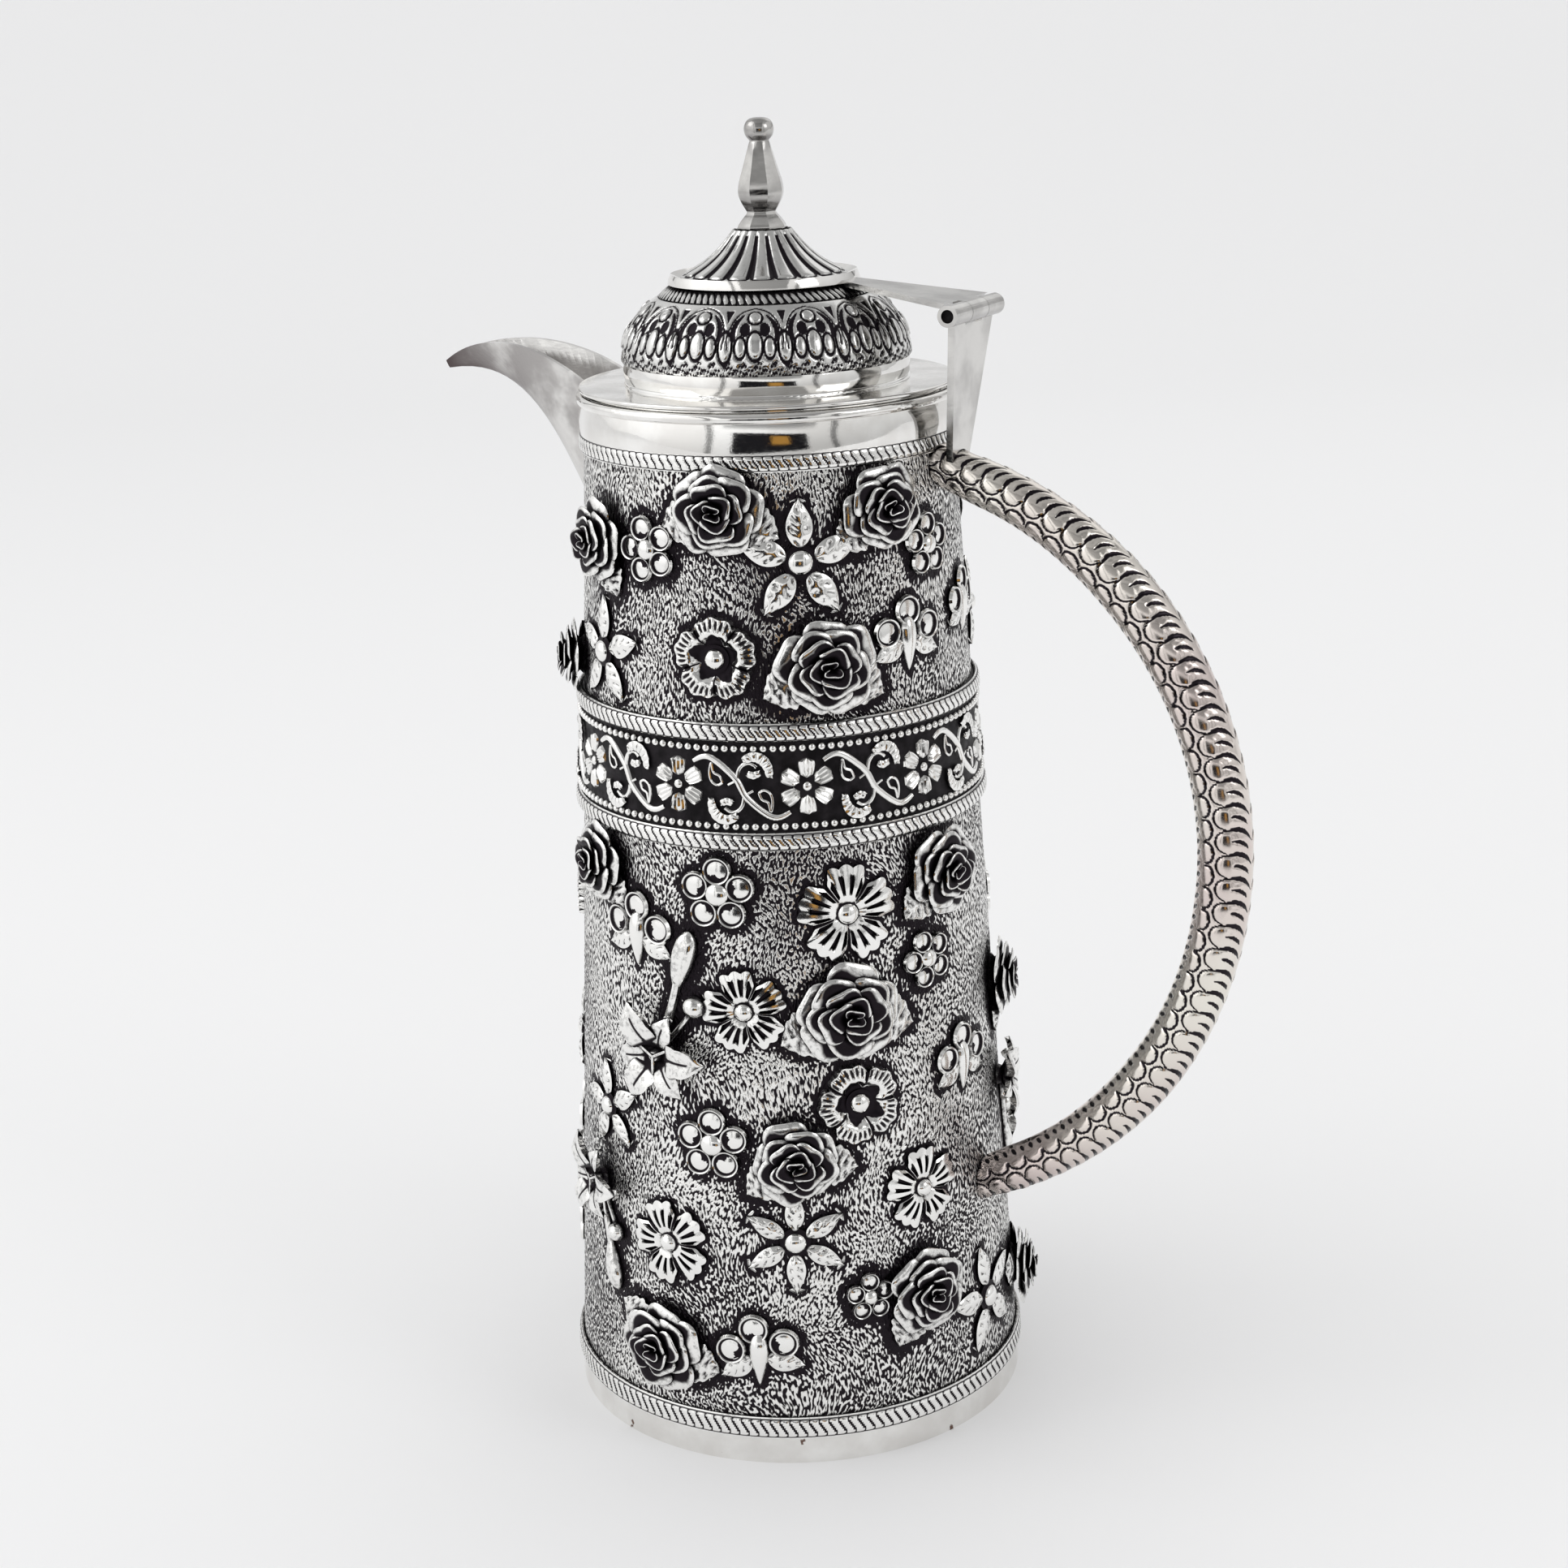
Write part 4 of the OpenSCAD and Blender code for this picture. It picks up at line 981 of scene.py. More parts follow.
def ribbed_leaf(points, width, rise, ribs):
    """A curled leaf along a line, ribbed across."""
    line = curved(points, 6)

    def point(u, v):
        (ax, az), (bx, bz), t = stretch_at(line, v)
        size = math.hypot(bx - ax, bz - az)
        side_x, side_z = -(bz - az) / size, (bx - ax) / size
        half = width / 2 * (0.18 + 0.82 * math.sin(math.pi * min(1, v * 0.9 + 0.08)) ** 0.7)
        rib = 0.6 + 0.4 * math.cos(TURN * ribs * v + u)
        lift = rise * (0.3 + 0.7 * rib * (1 - 0.5 * u * u))
        return ax + (bx - ax) * t + side_x * half * u, -lift, az + (bz - az) * t + side_z * half * u

    return outward(thicken(sheet("ribbed leaf", 5, ribs * 4, point), SUNK))


def on_belt(points):
    return [(x * BELT_HALF, z * BELT_HALF) for x, z in points]


def belt_scrolls():
    """The scrollwork of the belt: one blossom and the scroll that follows it, ten times round."""
    z0, z1 = low("belt_strip").z, high("belt_strip").z
    middle = (z0 + z1) / 2
    radius = wall_radius(middle) + (high("belt_strip").y - wall_radius(z0))
    pitch = TURN * radius / BELT_REPEATS
    petal = belt_petal(4.2 * MM, 4.0 * MM, BELT_RISE)
    parts = [turned(petal, 30 + 60 * i, 1.9 * MM) for i in range(6)]
    discard(petal)
    parts.append(add(
        "belt bead", bpy.ops.mesh.primitive_uv_sphere_add, segments=14, ring_count=8,
        radius=1.05 * MM, scale=(1, 0.7, 1),
    ))

    def swell(t):
        """Thickness of the bar, full in its middle."""
        return 1.0 - 0.35 * (2 * t - 1) ** 4

    bar = [*BAR, *[(-x, -z) for x, z in BAR[-2::-1]]]
    scroll = [wire("bar", curved(on_belt(bar), 3), 0.76 * MM, 0.75, swell)]
    for turn in (0, 180):
        half_parts = [
            wire("arc", curved(on_belt(ARC), 3), 0.48 * MM, 0.9),
            wire("drop", curved(on_belt(DROP), 3), 0.34 * MM),
            wire("spur", on_belt(SPUR), 0.3 * MM),
            ribbed_leaf(on_belt(CRESCENT), 2.0 * MM, BELT_RISE, 7),
            ribbed_leaf(on_belt(CURL), 1.2 * MM, BELT_RISE * 0.9, 4),
        ]
        scroll += [tilt(part, turn) for part in half_parts]
    moved = join("scroll", scroll)
    moved.data.transform(Matrix.Translation((pitch / 2, 0, 0)))
    unit = join("belt_scrolls", [*parts, moved])
    row(unit, BELT_REPEATS, pitch)
    to_middle = (BELT_REPEATS - 1) / 2
    unit.data.transform(Matrix.Translation((-to_middle * pitch, 0, 0)))
    unit.data.transform(Matrix.Rotation(-WALL_LEAN, 4, "X"))
    bend(unit, radius)
    turn = math.radians(BELT_TURN + 360 / BELT_REPEATS * to_middle) - FRONT
    unit.data.transform(Matrix.Rotation(turn, 4, "Z") @ Matrix.Translation((0, -radius, middle)))
    return smooth(outward(unit), 45)


# ---- Flowers ----
# Each row is one flower: turn round the wall in degrees, height in percent of its panel (with 100
# added in the upper panel), radius in percent of a full blossom, spin, and what else its kind
# needs: leaf angles for a rose, petals for a leaf star, lean of the stalk for a lily.
ROSES = (
    (238, 167.9, 90, 10, (300,)), (283, 184.9, 95, 0, (335, 198)), (331, 183, 90, 40, (218,)),
    (213, 113, 80, 0, (160,)), (312, 122.5, 102, 20, (205, 330)), (58, 164.1, 90, 0, (240,)),
    (103, 183, 95, 20, (335, 198)), (132, 120.6, 100, 0, (205, 330)),
)
LOW_ROSES = (
    (238, 93.7, 88, 0, (315,)), (346, 92.1, 98, 50, (218,)), (314, 71.5, 112, 10, (203, 342)),
    (299, 46.4, 94, 30, (215, 350)), (262, 10.5, 102, 15, (345, 150)),
    (332, 19.7, 98, 0, (238,)), (20, 66.2, 90, 0, (250,)), (22, 9.8, 90, 30, (20, 160)),
    (58, 92.9, 90, 30, (315,)), (160, 91.4, 92, 0, (218,)), (134, 70.8, 110, 10, (203, 342)),
    (119, 45.6, 94, 40, (215, 350)), (82, 11.3, 100, 0, (345,)), (152, 19.7, 98, 25, (300,)),
)
DAISIES = (
    (315, 88.3, 98, 0), (286.5, 72.3, 84, 12), (333, 38, 84, 0), (264, 29.6, 88, 20),
    (135, 88.3, 98, 20), (106, 72.3, 84, 0), (153, 38, 84, 12), (84, 29.6, 88, 0),
)
POPPIES = (
    (281, 126.3, 90, 0), (316, 55.5, 92, 20), (101, 126.3, 90, 15), (136, 54.8, 92, 0),
    (200, 83, 86, 0),
)
ROUNDS = (
    (259.5, 167.9, 70, 18), (349, 164.1, 66, 0), (280, 92.1, 80, 0), (339, 77.7, 64, 18),
    (277, 48.7, 80, 0), (316.5, 20.8, 54, 0), (79.5, 167.9, 70, 0), (100, 92.1, 80, 18),
    (159, 76.1, 64, 0), (97, 48.7, 80, 0), (40, 79.2, 70, 0), (200, 18.9, 74, 0),
)
STARS = (
    (306, 164.1, 108, 0, 5), (239, 122.5, 100, 0, 5), (298, 31.9, 98, 0, 6),
    (356, 12.1, 106, 10, 5), (241, 50.2, 88, 10, 5), (126, 164.1, 108, 0, 5),
    (59, 122.5, 100, 18, 5), (118, 31.9, 98, 0, 6), (176, 14.3, 104, 18, 5),
    (30, 128.2, 84, 0, 5), (202, 55.5, 88, 0, 6), (61, 50.2, 88, 30, 5),
)
BELLS = (
    (339, 128.2, 74, 0), (254, 83, 78, 0), (351, 57.1, 72, 0), (288, 11.3, 78, 10),
    (10, 133.8, 66, 0), (159, 126.3, 74, 0), (74, 82.2, 78, 0), (171, 55.5, 72, 0),
    (108, 12.1, 78, -10), (199, 38, 72, 0),
)
LILIES = (
    (262, 63.2, 104, 0, 75), (236, 35.7, 90, 0, -72), (18, 47.9, 86, 10, -75),
    (82, 63.2, 104, 0, 75), (45, 35.7, 90, 0, -72),
)
BLOOM = 10 * MM                  # radius of a full blossom
FLAT_RISE = 1.2 * MM             # how far the flat kinds stand out of the wall
ROSE_RISE = 6.2 * MM
LILY_RISE = 4.4 * MM


def bouquet(name, rows, make):
    """Makes each row's flower flat, sets it on the wall and joins them all."""
    lower = high("foot_rope").z, low("belt_lower_rope").z
    upper = high("belt_upper_rope").z, low("collar_rope").z
    placed = []
    for turn, share, size, *rest in rows:
        foot, top = lower if share < 100 else upper
        flower = make(size / 100 * BLOOM, *rest)
        placed.append(place_on_wall(flower, turn, foot + (top - foot) * (share % 100) / 100))
    return smooth(outward(join(name, placed)), 45)


def round_blossom(radius, spin):
    """Five dished petals round an eye."""
    petal = dished_disc("round petal", radius * 0.405, FLAT_RISE * 1.25)
    petals = [turned(petal, spin + 90 + 72 * i, radius * 0.65) for i in range(5)]
    discard(petal)
    return join("round blossom", [*petals, domed_eye(radius * 0.46)])


def daisy(radius, spin):
    """Five broad lobes with a scalloped edge and slots between fine ribs."""
    def rule(angle, v):
        turn = angle - math.radians(spin + 90)
        aside = abs((math.degrees(turn) + 36) % 72 - 36)       # 0 in the middle of a lobe
        notch = max(0, (aside - 22) / 14) ** 1.3
        scallop = 0.09 * abs(math.cos(10 * turn))
        reach = radius * (0.26 + (0.76 - 0.46 * notch + scallop) * v)
        slot = math.cos(20 * turn) < -0.25 and 0.20 < v < 0.72 and notch < 0.6
        seam = notch > 0.75 and v > 0.1
        rise = FLAT_RISE * (0.80 + 0.5 * math.sin(math.pi * v ** 0.8)) * (1 - 0.35 * notch)
        return reach, rise - (0.75 * FLAT_RISE if slot else 0), float(slot or seam)

    petals = thicken(round_sheet("daisy petals", 160, 10, rule), FLAT_RISE + SUNK)
    return join("daisy", [petals, domed_eye(radius * 0.33)])


def poppy(radius, spin):
    """Five hatched petals that rise from a dark bowl."""
    def rule(angle, v):
        turn = angle - math.radians(spin + 90)
        side = abs(math.cos(2.5 * turn))
        lobe = side ** 0.35
        frill = 0.03 * math.sin(15 * turn + 0.6)
        reach = radius * (0.30 + (0.40 + 0.27 * lobe + frill) * v)
        hatch = 0.22 * (math.cos(40 * angle) < -0.45) * (0.55 < v < 0.95)
        bowl = 0.25 + 1.05 * clamp((v - 0.22) / 0.25) - 0.25 * max(0, v - 0.8) / 0.2
        dark = 0.35 + 0.12 * math.cos(5 * turn) + 0.05 * math.sin(2 * turn)
        seam = side < 0.12 and v > 0.2
        black = max(clamp((dark - v) / 0.08), 2.6 * hatch, 0.9 * seam)
        return reach, FLAT_RISE * 1.25 * (bowl * (0.8 + 0.2 * lobe) - hatch), black

    petals = thicken(round_sheet("poppy petals", 240, 11, rule), FLAT_RISE + 0.4 * MM)
    return join("poppy", [petals, domed_eye(radius * 0.34)])


def leaf_star(radius, spin, count):
    """Pointed veined leaves round an eye."""
    petal = leaf("star leaf", radius * 1.02, radius * 2.55 / count, FLAT_RISE * 1.3)
    step = 360 / count
    petals = [turned(petal, spin + 90 + step * i, radius * 0.22) for i in range(count)]
    discard(petal)
    return join("leaf star", [*petals, domed_eye(radius * 0.34)])


def bell_flower(radius, spin):
    """Three round petals over a long pistil between two leaves."""
    radius *= 1.25
    disc = dished_disc("bell petal", radius * 0.36, FLAT_RISE * 1.25)
    side = leaf("bell leaf", radius * 0.95, radius * 0.5, FLAT_RISE)
    parts = [turned(disc, spin + a, radius * 0.66) for a in (20, 90, 160)]
    parts += [turned(side, spin + a, radius * 0.12) for a in (202, 338)]
    discard(disc, side)
    pistil = add(
        "pistil", bpy.ops.mesh.primitive_uv_sphere_add, segments=16, ring_count=12, radius=radius,
        scale=(0.34, 0.26, 0.66), location=(0, 0, -radius * 0.10),
    )

    def drop(x, y, z):
        return x * (0.7 + 0.6 * z / radius), y * (0.85 + 0.5 * z / radius), z

    parts.append(shape(pistil, drop))
    return join("bell flower", parts)


LILY_PETALS = (1.0, 0.84, 1.06, 0.80, 0.96, 0.88)


def lily(radius, spin, lean):
    """Six folded petals, a throat and stamens, with a bud and a berry on two stalks."""
    berry_lean = 54 if lean > 0 else -54
    petal = leaf("lily petal", radius * 1.20, radius * 0.62, FLAT_RISE, notches=2, veins=False)

    def lift(x, y, z):
        share = min(1, x / radius / 1.22)
        rise = LILY_RISE * (0.10 + 0.78 * math.sin(math.pi * share * 0.7))
        fold = 0.30 * abs(z) if share > 0.2 else 0
        return x, y - rise - fold, z

    shape(petal, lift)
    parts = []
    for i, size in enumerate(LILY_PETALS):
        turn = Matrix.Rotation(math.radians(-spin - 60 * i - 8 * (i % 2)), 4, "Y")
        parts.append(stamp(petal, turn @ Matrix.Scale(size, 4)))
    discard(petal)
    throat = add(
        "throat", bpy.ops.mesh.primitive_cone_add, vertices=20, radius1=radius * 0.30,
        radius2=radius * 0.10, depth=LILY_RISE * 0.8, rotation=(-FRONT, 0, 0),
        location=(0, -LILY_RISE * 0.38, 0),
    )
    parts.append(throat)
    thread = stamen(radius)
    parts += [turned(thread, spin + angle) for angle in (30, 150, 270)]
    discard(thread)
    parts.append(stalk(radius, lean, 1.7, 0.10))
    parts.append(stalk(radius, berry_lean, 1.35, 0.06))
    bud = add(
        "bud", bpy.ops.mesh.primitive_uv_sphere_add, segments=18, ring_count=14, radius=radius,
        scale=(0.70, 0.24, 0.24), location=(radius * 2.2, -0.4 * MM, 0),
    )

    def seam(x, y, z):
        """Three folds along the bud, which fills out towards its end."""
        along = (x / radius - 1.5) / 1.4
        fold = 1 - 0.16 * abs(math.sin(1.5 * math.atan2(z, y))) ** 4
        full = 0.75 + 0.6 * along
        return x, y * fold * full, z * fold * full

    parts.append(tilt(shape(bud, seam), lean))
    berry = add(
        "berry", bpy.ops.mesh.primitive_uv_sphere_add, segments=16, ring_count=10,
        radius=radius * 0.24, location=(radius * 1.45, -0.9 * MM, 0),
    )
    parts.append(tilt(berry, berry_lean))
    return join("lily", parts)


def stamen(radius):
    points = [(0, 0), (radius * 0.15, 0), (radius * 0.3, 0), (radius * 0.42, 0)]
    piece = wire("stamen", points, radius * 0.035)
    piece.data.transform(Matrix.Translation((0, -LILY_RISE * 0.78, 0)))
    return piece


def stalk(radius, degrees, reach, thick):
    long = radius * reach
    points = [(0, 0), (long * 0.35, radius * 0.06), (long * 0.7, -radius * 0.05), (long, 0)]
    piece = wire("stalk", points, radius * thick)
    piece.data.transform(Matrix.Translation((0, -0.5 * MM, 0)))
    return tilt(piece, degrees)


ROSE_WHORLS = (
    # petals, half width in degrees, inner and outer radius, foot, top, curl, first angle, and the
    # share of a petal that is black
    (5, 43, 0.36, 0.92, 0.12, 0.52, 0.11, 0, 0.80),
    (5, 46, 0.26, 0.77, 0.20, 0.72, 0.08, 34, 0.84),
    (4, 54, 0.18, 0.58, 0.28, 0.88, 0.05, 8, 0.86),
    (3, 70, 0.10, 0.39, 0.40, 0.97, 0.03, 40, 0.88),
    (2, 105, 0.03, 0.19, 0.52, 1.00, 0.01, 70, 0.88),
)


def rose_petal(radius, whorl):
    """A cupped petal with a curled edge, black up to a ragged line."""
    _, half, inner, outer, foot, top, curl, _, dark = whorl

    def rule(u, v):
        black = clamp((dark + 0.10 + 0.07 * math.sin(4 * u + half) - v) / 0.18)
        angle = math.radians(u * half)
        share = v * (1 - 0.36 * abs(u) ** 3.2)
        wave = 0.05 * math.sin(6 * u + half) * v
        roll = max(0, v - 0.72) / 0.28
        reach = inner + (outer - inner) * share ** 1.2 + curl * roll ** 1.5 + 0.05 * u + wave
        rise = foot + (top - foot) * (1 - (1 - share) ** 1.7) - 1.25 * curl * roll ** 2
        x, z = radius * reach * math.cos(angle), radius * reach * math.sin(angle)
        return (x, -ROSE_RISE * rise, z), black

    piece = inked_sheet("rose petal", 7, 5, rule)
    modify(piece, "SOLIDIFY", thickness=radius * 0.05, offset=0)
    return modify(piece, "SUBSURF", levels=1, render_levels=1)


def rose(radius, spin, leaves):
    """Whorls of petals on a seat, with notched leaves beneath."""
    parts = []
    for number, whorl in enumerate(ROSE_WHORLS):
        petal = rose_petal(radius, whorl)
        for i in range(whorl[0]):
            jitter = 7 * math.sin(2.4 * i + 1.7 * number + spin)
            grown = 1 + 0.05 * math.sin(3.1 * i + 2.3 * number + spin)
            angle = math.radians(-(spin + whorl[7] + 360 / whorl[0] * i + jitter))
            parts.append(stamp(petal, Matrix.Rotation(angle, 4, "Y") @ Matrix.Scale(grown, 4)))
        discard(petal)
    green = leaf("rose leaf", radius * 1.0, radius * 0.86, FLAT_RISE * 1.5, notches=5, steps=24)
    parts += [turned(green, a, radius * 0.45) for a in leaves]
    discard(green)
    seat = add(
        "rose seat", bpy.ops.mesh.primitive_cone_add, vertices=20, radius1=radius * 0.62,
        radius2=radius * 0.3, depth=ROSE_RISE * 0.4, rotation=(-FRONT, 0, 0),
        location=(0, -ROSE_RISE * 0.16, 0),
    )
    return join("rose", [*parts, seat])


# ---- Settings ----

class PotFinish(bpy.types.PropertyGroup):
    """Colours and grain of the silver."""

    bright: FloatVectorProperty(
        name="Bright silver", description="Colour of rubbed silver", subtype="COLOR", size=3,
        min=0, max=1, default=(0.93, 0.925, 0.905),
    )
    patina: FloatVectorProperty(
        name="Patina", description="Colour of the blackened hollows", subtype="COLOR", size=3,
        min=0, max=1, default=(0.022, 0.018, 0.022),
    )
    # Width of the painted shade and patina on the ground round a flower.
    halo: FloatProperty(
        name="Halo", description="Width of the blackened ground round a flower",
        subtype="DISTANCE", unit="LENGTH", min=0, default=3.6 * MM,
    )
    punch_step: FloatProperty(
        name="Punch step", description="Spacing of the mesh under the punch marks",
        subtype="DISTANCE", unit="LENGTH", min=0.4 * MM, default=0.75 * MM,
    )


class PotStage(bpy.types.PropertyGroup):
    """Camera, floor and light."""

    distance: FloatProperty(
        name="Camera distance", description="Distance of the camera from the pot's axis",
        subtype="DISTANCE", unit="LENGTH", default=0.58597,
    )
    height: FloatProperty(
        name="Camera height", description="Height of the camera over the floor",
        subtype="DISTANCE", unit="LENGTH", default=0.31712,
    )
    turn: FloatProperty(
        name="Camera turn", description="Turn of the camera round the pot from the front",
        subtype="ANGLE", unit="ROTATION", default=math.radians(28.5),
    )
    pitch: FloatProperty(
        name="Camera pitch", description="How far the camera looks down",
        subtype="ANGLE", unit="ROTATION", default=0.28863,
    )
    yaw: FloatProperty(
        name="Camera yaw", description="How far the camera looks past the axis",
        subtype="ANGLE", unit="ROTATION", default=0.00096,
    )
    roll: FloatProperty(
        name="Camera roll", description="Tilt of the camera about its own view",
        subtype="ANGLE", unit="ROTATION", default=-0.034587,
    )
    table: FloatProperty(
        name="Table edge", description="Distance from the pot to the table's near edge",
        subtype="DISTANCE", unit="LENGTH", default=0.46,
    )
    tent: FloatProperty(
        name="Tent", description="Brightness of the pale tent as the floor sees it", min=0,
        default=0.90,
    )
    backdrop: FloatProperty(
        name="Backdrop", description="Brightness of the tent behind the pot", min=0, default=0.81,
    )
    lens: FloatProperty(
        name="Lens", description="Focal length on a sensor 36 mm wide", min=10, default=61.64,
    )


# ---- Operators ----

class POT_OT_stage(bpy.types.Operator):
    """Adds the floor, the soft light and the camera"""

    bl_idname = "pot.stage"
    bl_label = "Stage"

    def execute(self, context):
        settings = context.scene.pot_stage
        floor = cove(settings.table)
        floor.data.transform(Matrix.Rotation(settings.turn, 4, "Z"))
        floor.data.materials.append(floor_paper())
        studio_world(context.scene, settings)
        for name, place, size, power, aim in (           # aim is the height each lamp looks at
            ("key light", (-0.9, -0.6, 1.2), 0.9, 2.6, 0.14),
            ("right light", (1.3, -0.1, 0.9), 0.6, 1.6, 0.14),
            ("back light", (0.1, 1.4, 1.2), 1.0, 1.0, 0.2),
        ):
            clear_selection()
            bpy.ops.object.light_add(type="AREA", location=place)
            lamp = context.object
            lamp.name = name
            lamp.data.size = size
            lamp.data.energy = power
            towards = Vector((0, 0, aim)) - lamp.location
            lamp.rotation_euler = towards.to_track_quat("-Z", "Y").to_euler()
        add_camera(context.scene, settings)
        context.scene.view_settings.view_transform = "Standard"
        return {"FINISHED"}


def cove(near, deep=1.6, radius=1.2, rise=0.62):
    """A table that curves up into a low backdrop behind the pot."""
    last = math.acos(1 - rise / radius)
    length = near + deep + radius * last

    def point(u, v):
        run = v * length - near
        angle = max(0, run - deep) / radius
        return 6 * u, min(run, deep) + radius * math.sin(angle), radius * (1 - math.cos(angle))

    return smooth(sheet("floor", 4, 60, point), 60)


def add_camera(scene, s):
    """The camera's axes from its yaw, pitch and roll, then its turn round the pot."""
    level = math.cos(s.pitch)
    ahead = Vector((math.sin(s.yaw) * level, math.cos(s.yaw) * level, -math.sin(s.pitch)))
    right = Vector((math.cos(s.yaw), -math.sin(s.yaw), 0))
    up = right.cross(ahead)
    rolled = right * math.cos(s.roll) + up * math.sin(s.roll)
    upright = up * math.cos(s.roll) - right * math.sin(s.roll)
    axes = Matrix((rolled, upright, -ahead)).transposed().to_4x4()
    place = Matrix.Translation((0, -s.distance, s.height))
    clear_selection()
    bpy.ops.object.camera_add()
    camera = bpy.context.object
    camera.matrix_world = Matrix.Rotation(s.turn, 4, "Z") @ place @ axes
    camera.data.lens = s.lens
    camera.data.sensor_width = 36
    camera.data.sensor_fit = "HORIZONTAL"
    camera.data.clip_start = 0.01
    scene.camera = camera


def floor_paper():
    paper = Metal("pale paper", metallic=0.0)
    for name, value in (
        ("Base Color", (0.90, 0.90, 0.905, 1)), ("Roughness", 0.7), ("Specular IOR Level", 0.2),
    ):
        paper.shader.inputs[name].default_value = value
    return paper.material


def studio_world(scene, s):
    """A plain pale tent; polished metal also sees its seams and the dark gap at the camera."""
    world = bpy.data.worlds.new("studio")
    scene.world = world
    n = Nodes(world, "Generated")

    def window(value, middle, half, soft):
        """1 within a half width of a value, fading to 0 over a soft edge."""
        off = n.math("ABSOLUTE", n.math("SUBTRACT", value, middle))
        return n.span(off, half, half + soft, 1, 0)

    def dimmed(light, share, depth):
        """Light that loses a depth of itself where the share is 1."""
        return n.times(light, n.math("SUBTRACT", 1.0, n.times(share, depth)))

    def tone(share, under, over):
        return n.mix(share, under, over, clamp_factor=False)

    black, white = (0, 0, 0), (1, 1, 1)
    x, y, rise = n.parts(n.place)
    ahead_x, ahead_y = math.sin(s.turn), math.cos(s.turn)
    toward = n.math("SUBTRACT", n.times(x, ahead_x), n.times(y, ahead_y))
    across = n.math("ADD", n.times(x, ahead_y), n.times(y, ahead_x))

    # Round the camera: a dark gap, something wooden in it and a dim veil over it.
    facing = n.span(toward, 0.2, 0.3, 0, 1)
    gap = n.times(facing, window(rise, -0.125, 0.235, 0.03))
    gap = n.times(gap, window(across, 0.0, 0.37, 0.02))
    wood = n.times(n.times(gap, window(across, 0.10, 0.075, 0.03)), window(rise, -0.09, 0.10, 0.06))
    veil = n.times(facing, n.times(window(across, 0.0, 0.44, 0.03), window(rise, 0.56, 0.20, 0.16)))

    # The tent: brightest above and to the left, with two dark seams.
    seams = n.math("ADD", window(across, 0.62, 0.012, 0.03), window(across, -0.58, 0.012, 0.03))
    light = n.times(n.span(rise, -0.5, 0.55, 0.70, 1.12), n.span(across, -1.0, 1.0, 1.15, 0.72))
    light = n.times(light, n.span(rise, 0.62, 0.95, 1.0, 0.42))
    light = dimmed(dimmed(light, veil, 0.66), seams, 0.7)
    light = n.times(light, n.span(toward, -1.0, 0.1, 0.64, 1.0))

    # What the metal sees, then what the floor sees, then what the camera sees.
    tent = tone(gap, tone(light, black, white), (0.012, 0.012, 0.014))
    tent = tone(wood, tent, (0.42, 0.22, 0.05))
    path = n.add("ShaderNodeLightPath").outputs
    tent = tone(path["Is Diffuse Ray"], tent, (s.tent, s.tent, s.tent))
    backdrop = n.span(rise, -0.40, 0.05, s.backdrop * 1.17, s.backdrop)
    tent = tone(path["Is Camera Ray"], tent, tone(backdrop, black, white))
    back = n.tree.nodes["Background"]
    n.put(back.inputs["Color"], tent)
    back.inputs["Strength"].default_value = 1.0


BEAK_REACH = 84 * MM             # from the pot's axis to the tip of the beak


class POT_OT_bare_metal(bpy.types.Operator):
    """Makes the silver finishes and gives each piece of the frame its own"""

    bl_idname = "pot.bare_metal"
    bl_label = "Bare metal"

    def execute(self, context):
        finish = context.scene.pot_finish
        stippled_silver(finish)
        chased_silver(finish, "rose silver", 0.64, 1.02)
        chased_silver(finish, "flat silver", 0.28, 0.74)
        finishes = {
            polished_silver(finish): (
                "foot_band", "collar_band", "rim_wire", "lid_flange", "lid_sleeve", "lid_neck",
                "base_plate", "body_shell",
            ),
            worn_silver_shaded_below(): ("hinge_post", "lid_strap"),
            worn_silver_shaded_below("smoked silver", (0.20, 0.19, 0.19), (0.62, 0.61, 0.59)): ("finial",),
            worn_silver_shaded_below("beak silver", (0.10, 0.08, 0.08), (0.85, 0.84, 0.82), BEAK_REACH): (
                "spout",
            ),
            chased_silver(finish, "belt silver", 0.20, 0.62): (
                "belt_lower_pearls", "belt_upper_pearls", "belt_scrollwork",
            ),
            chased_silver(finish, "lid silver", 0.50, 0.96, 0.82): ("lid_cone", "lid_dome"),
            chased_silver(finish): (
                "roses", "daisies", "poppies", "round_blossoms", "leaf_stars", "bell_flowers",
                "lilies",
            ),
            blackened_silver(): (
                "belt_strip", "foot_rope", "belt_lower_rope", "belt_upper_rope", "collar_rope",
                "lid_rope_ring", "hinge_pin", "finial_nut",
            ),
            handle_silver(finish): ("handle_grip", "handle_upper_socket", "handle_lower_socket"),
        }
        for material, nodes in finishes.items():
            for node in nodes:
                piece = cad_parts[node]
                piece.data.materials.clear()
                piece.data.materials.append(material)
        return {"FINISHED"}


def finish_named(name):
    return bpy.data.materials[name]


class POT_OT_grounds(bpy.types.Operator):
    """Lays the punched ground over both panels of the wall"""

    bl_idname = "pot.grounds"
    bl_label = "Punched grounds"

    def execute(self, context):
        step = context.scene.pot_finish.punch_step
        edges = (
            ("lower_ground", high("foot_rope").z, low("belt_lower_rope").z),
            ("upper_ground", high("belt_upper_rope").z, low("collar_rope").z),
        )
        for name, z0, z1 in edges:
            ground = stippled_ground(name, z0, z1, step, stand=0.13 * MM, depth=0.22 * MM)
            dress(ground, "pot", "oxidised_silver", finish_named("stippled silver"))
        return {"FINISHED"}


TICK_PROUD = 0.16 * MM           # how far a ticked band stands over the strip that carries it


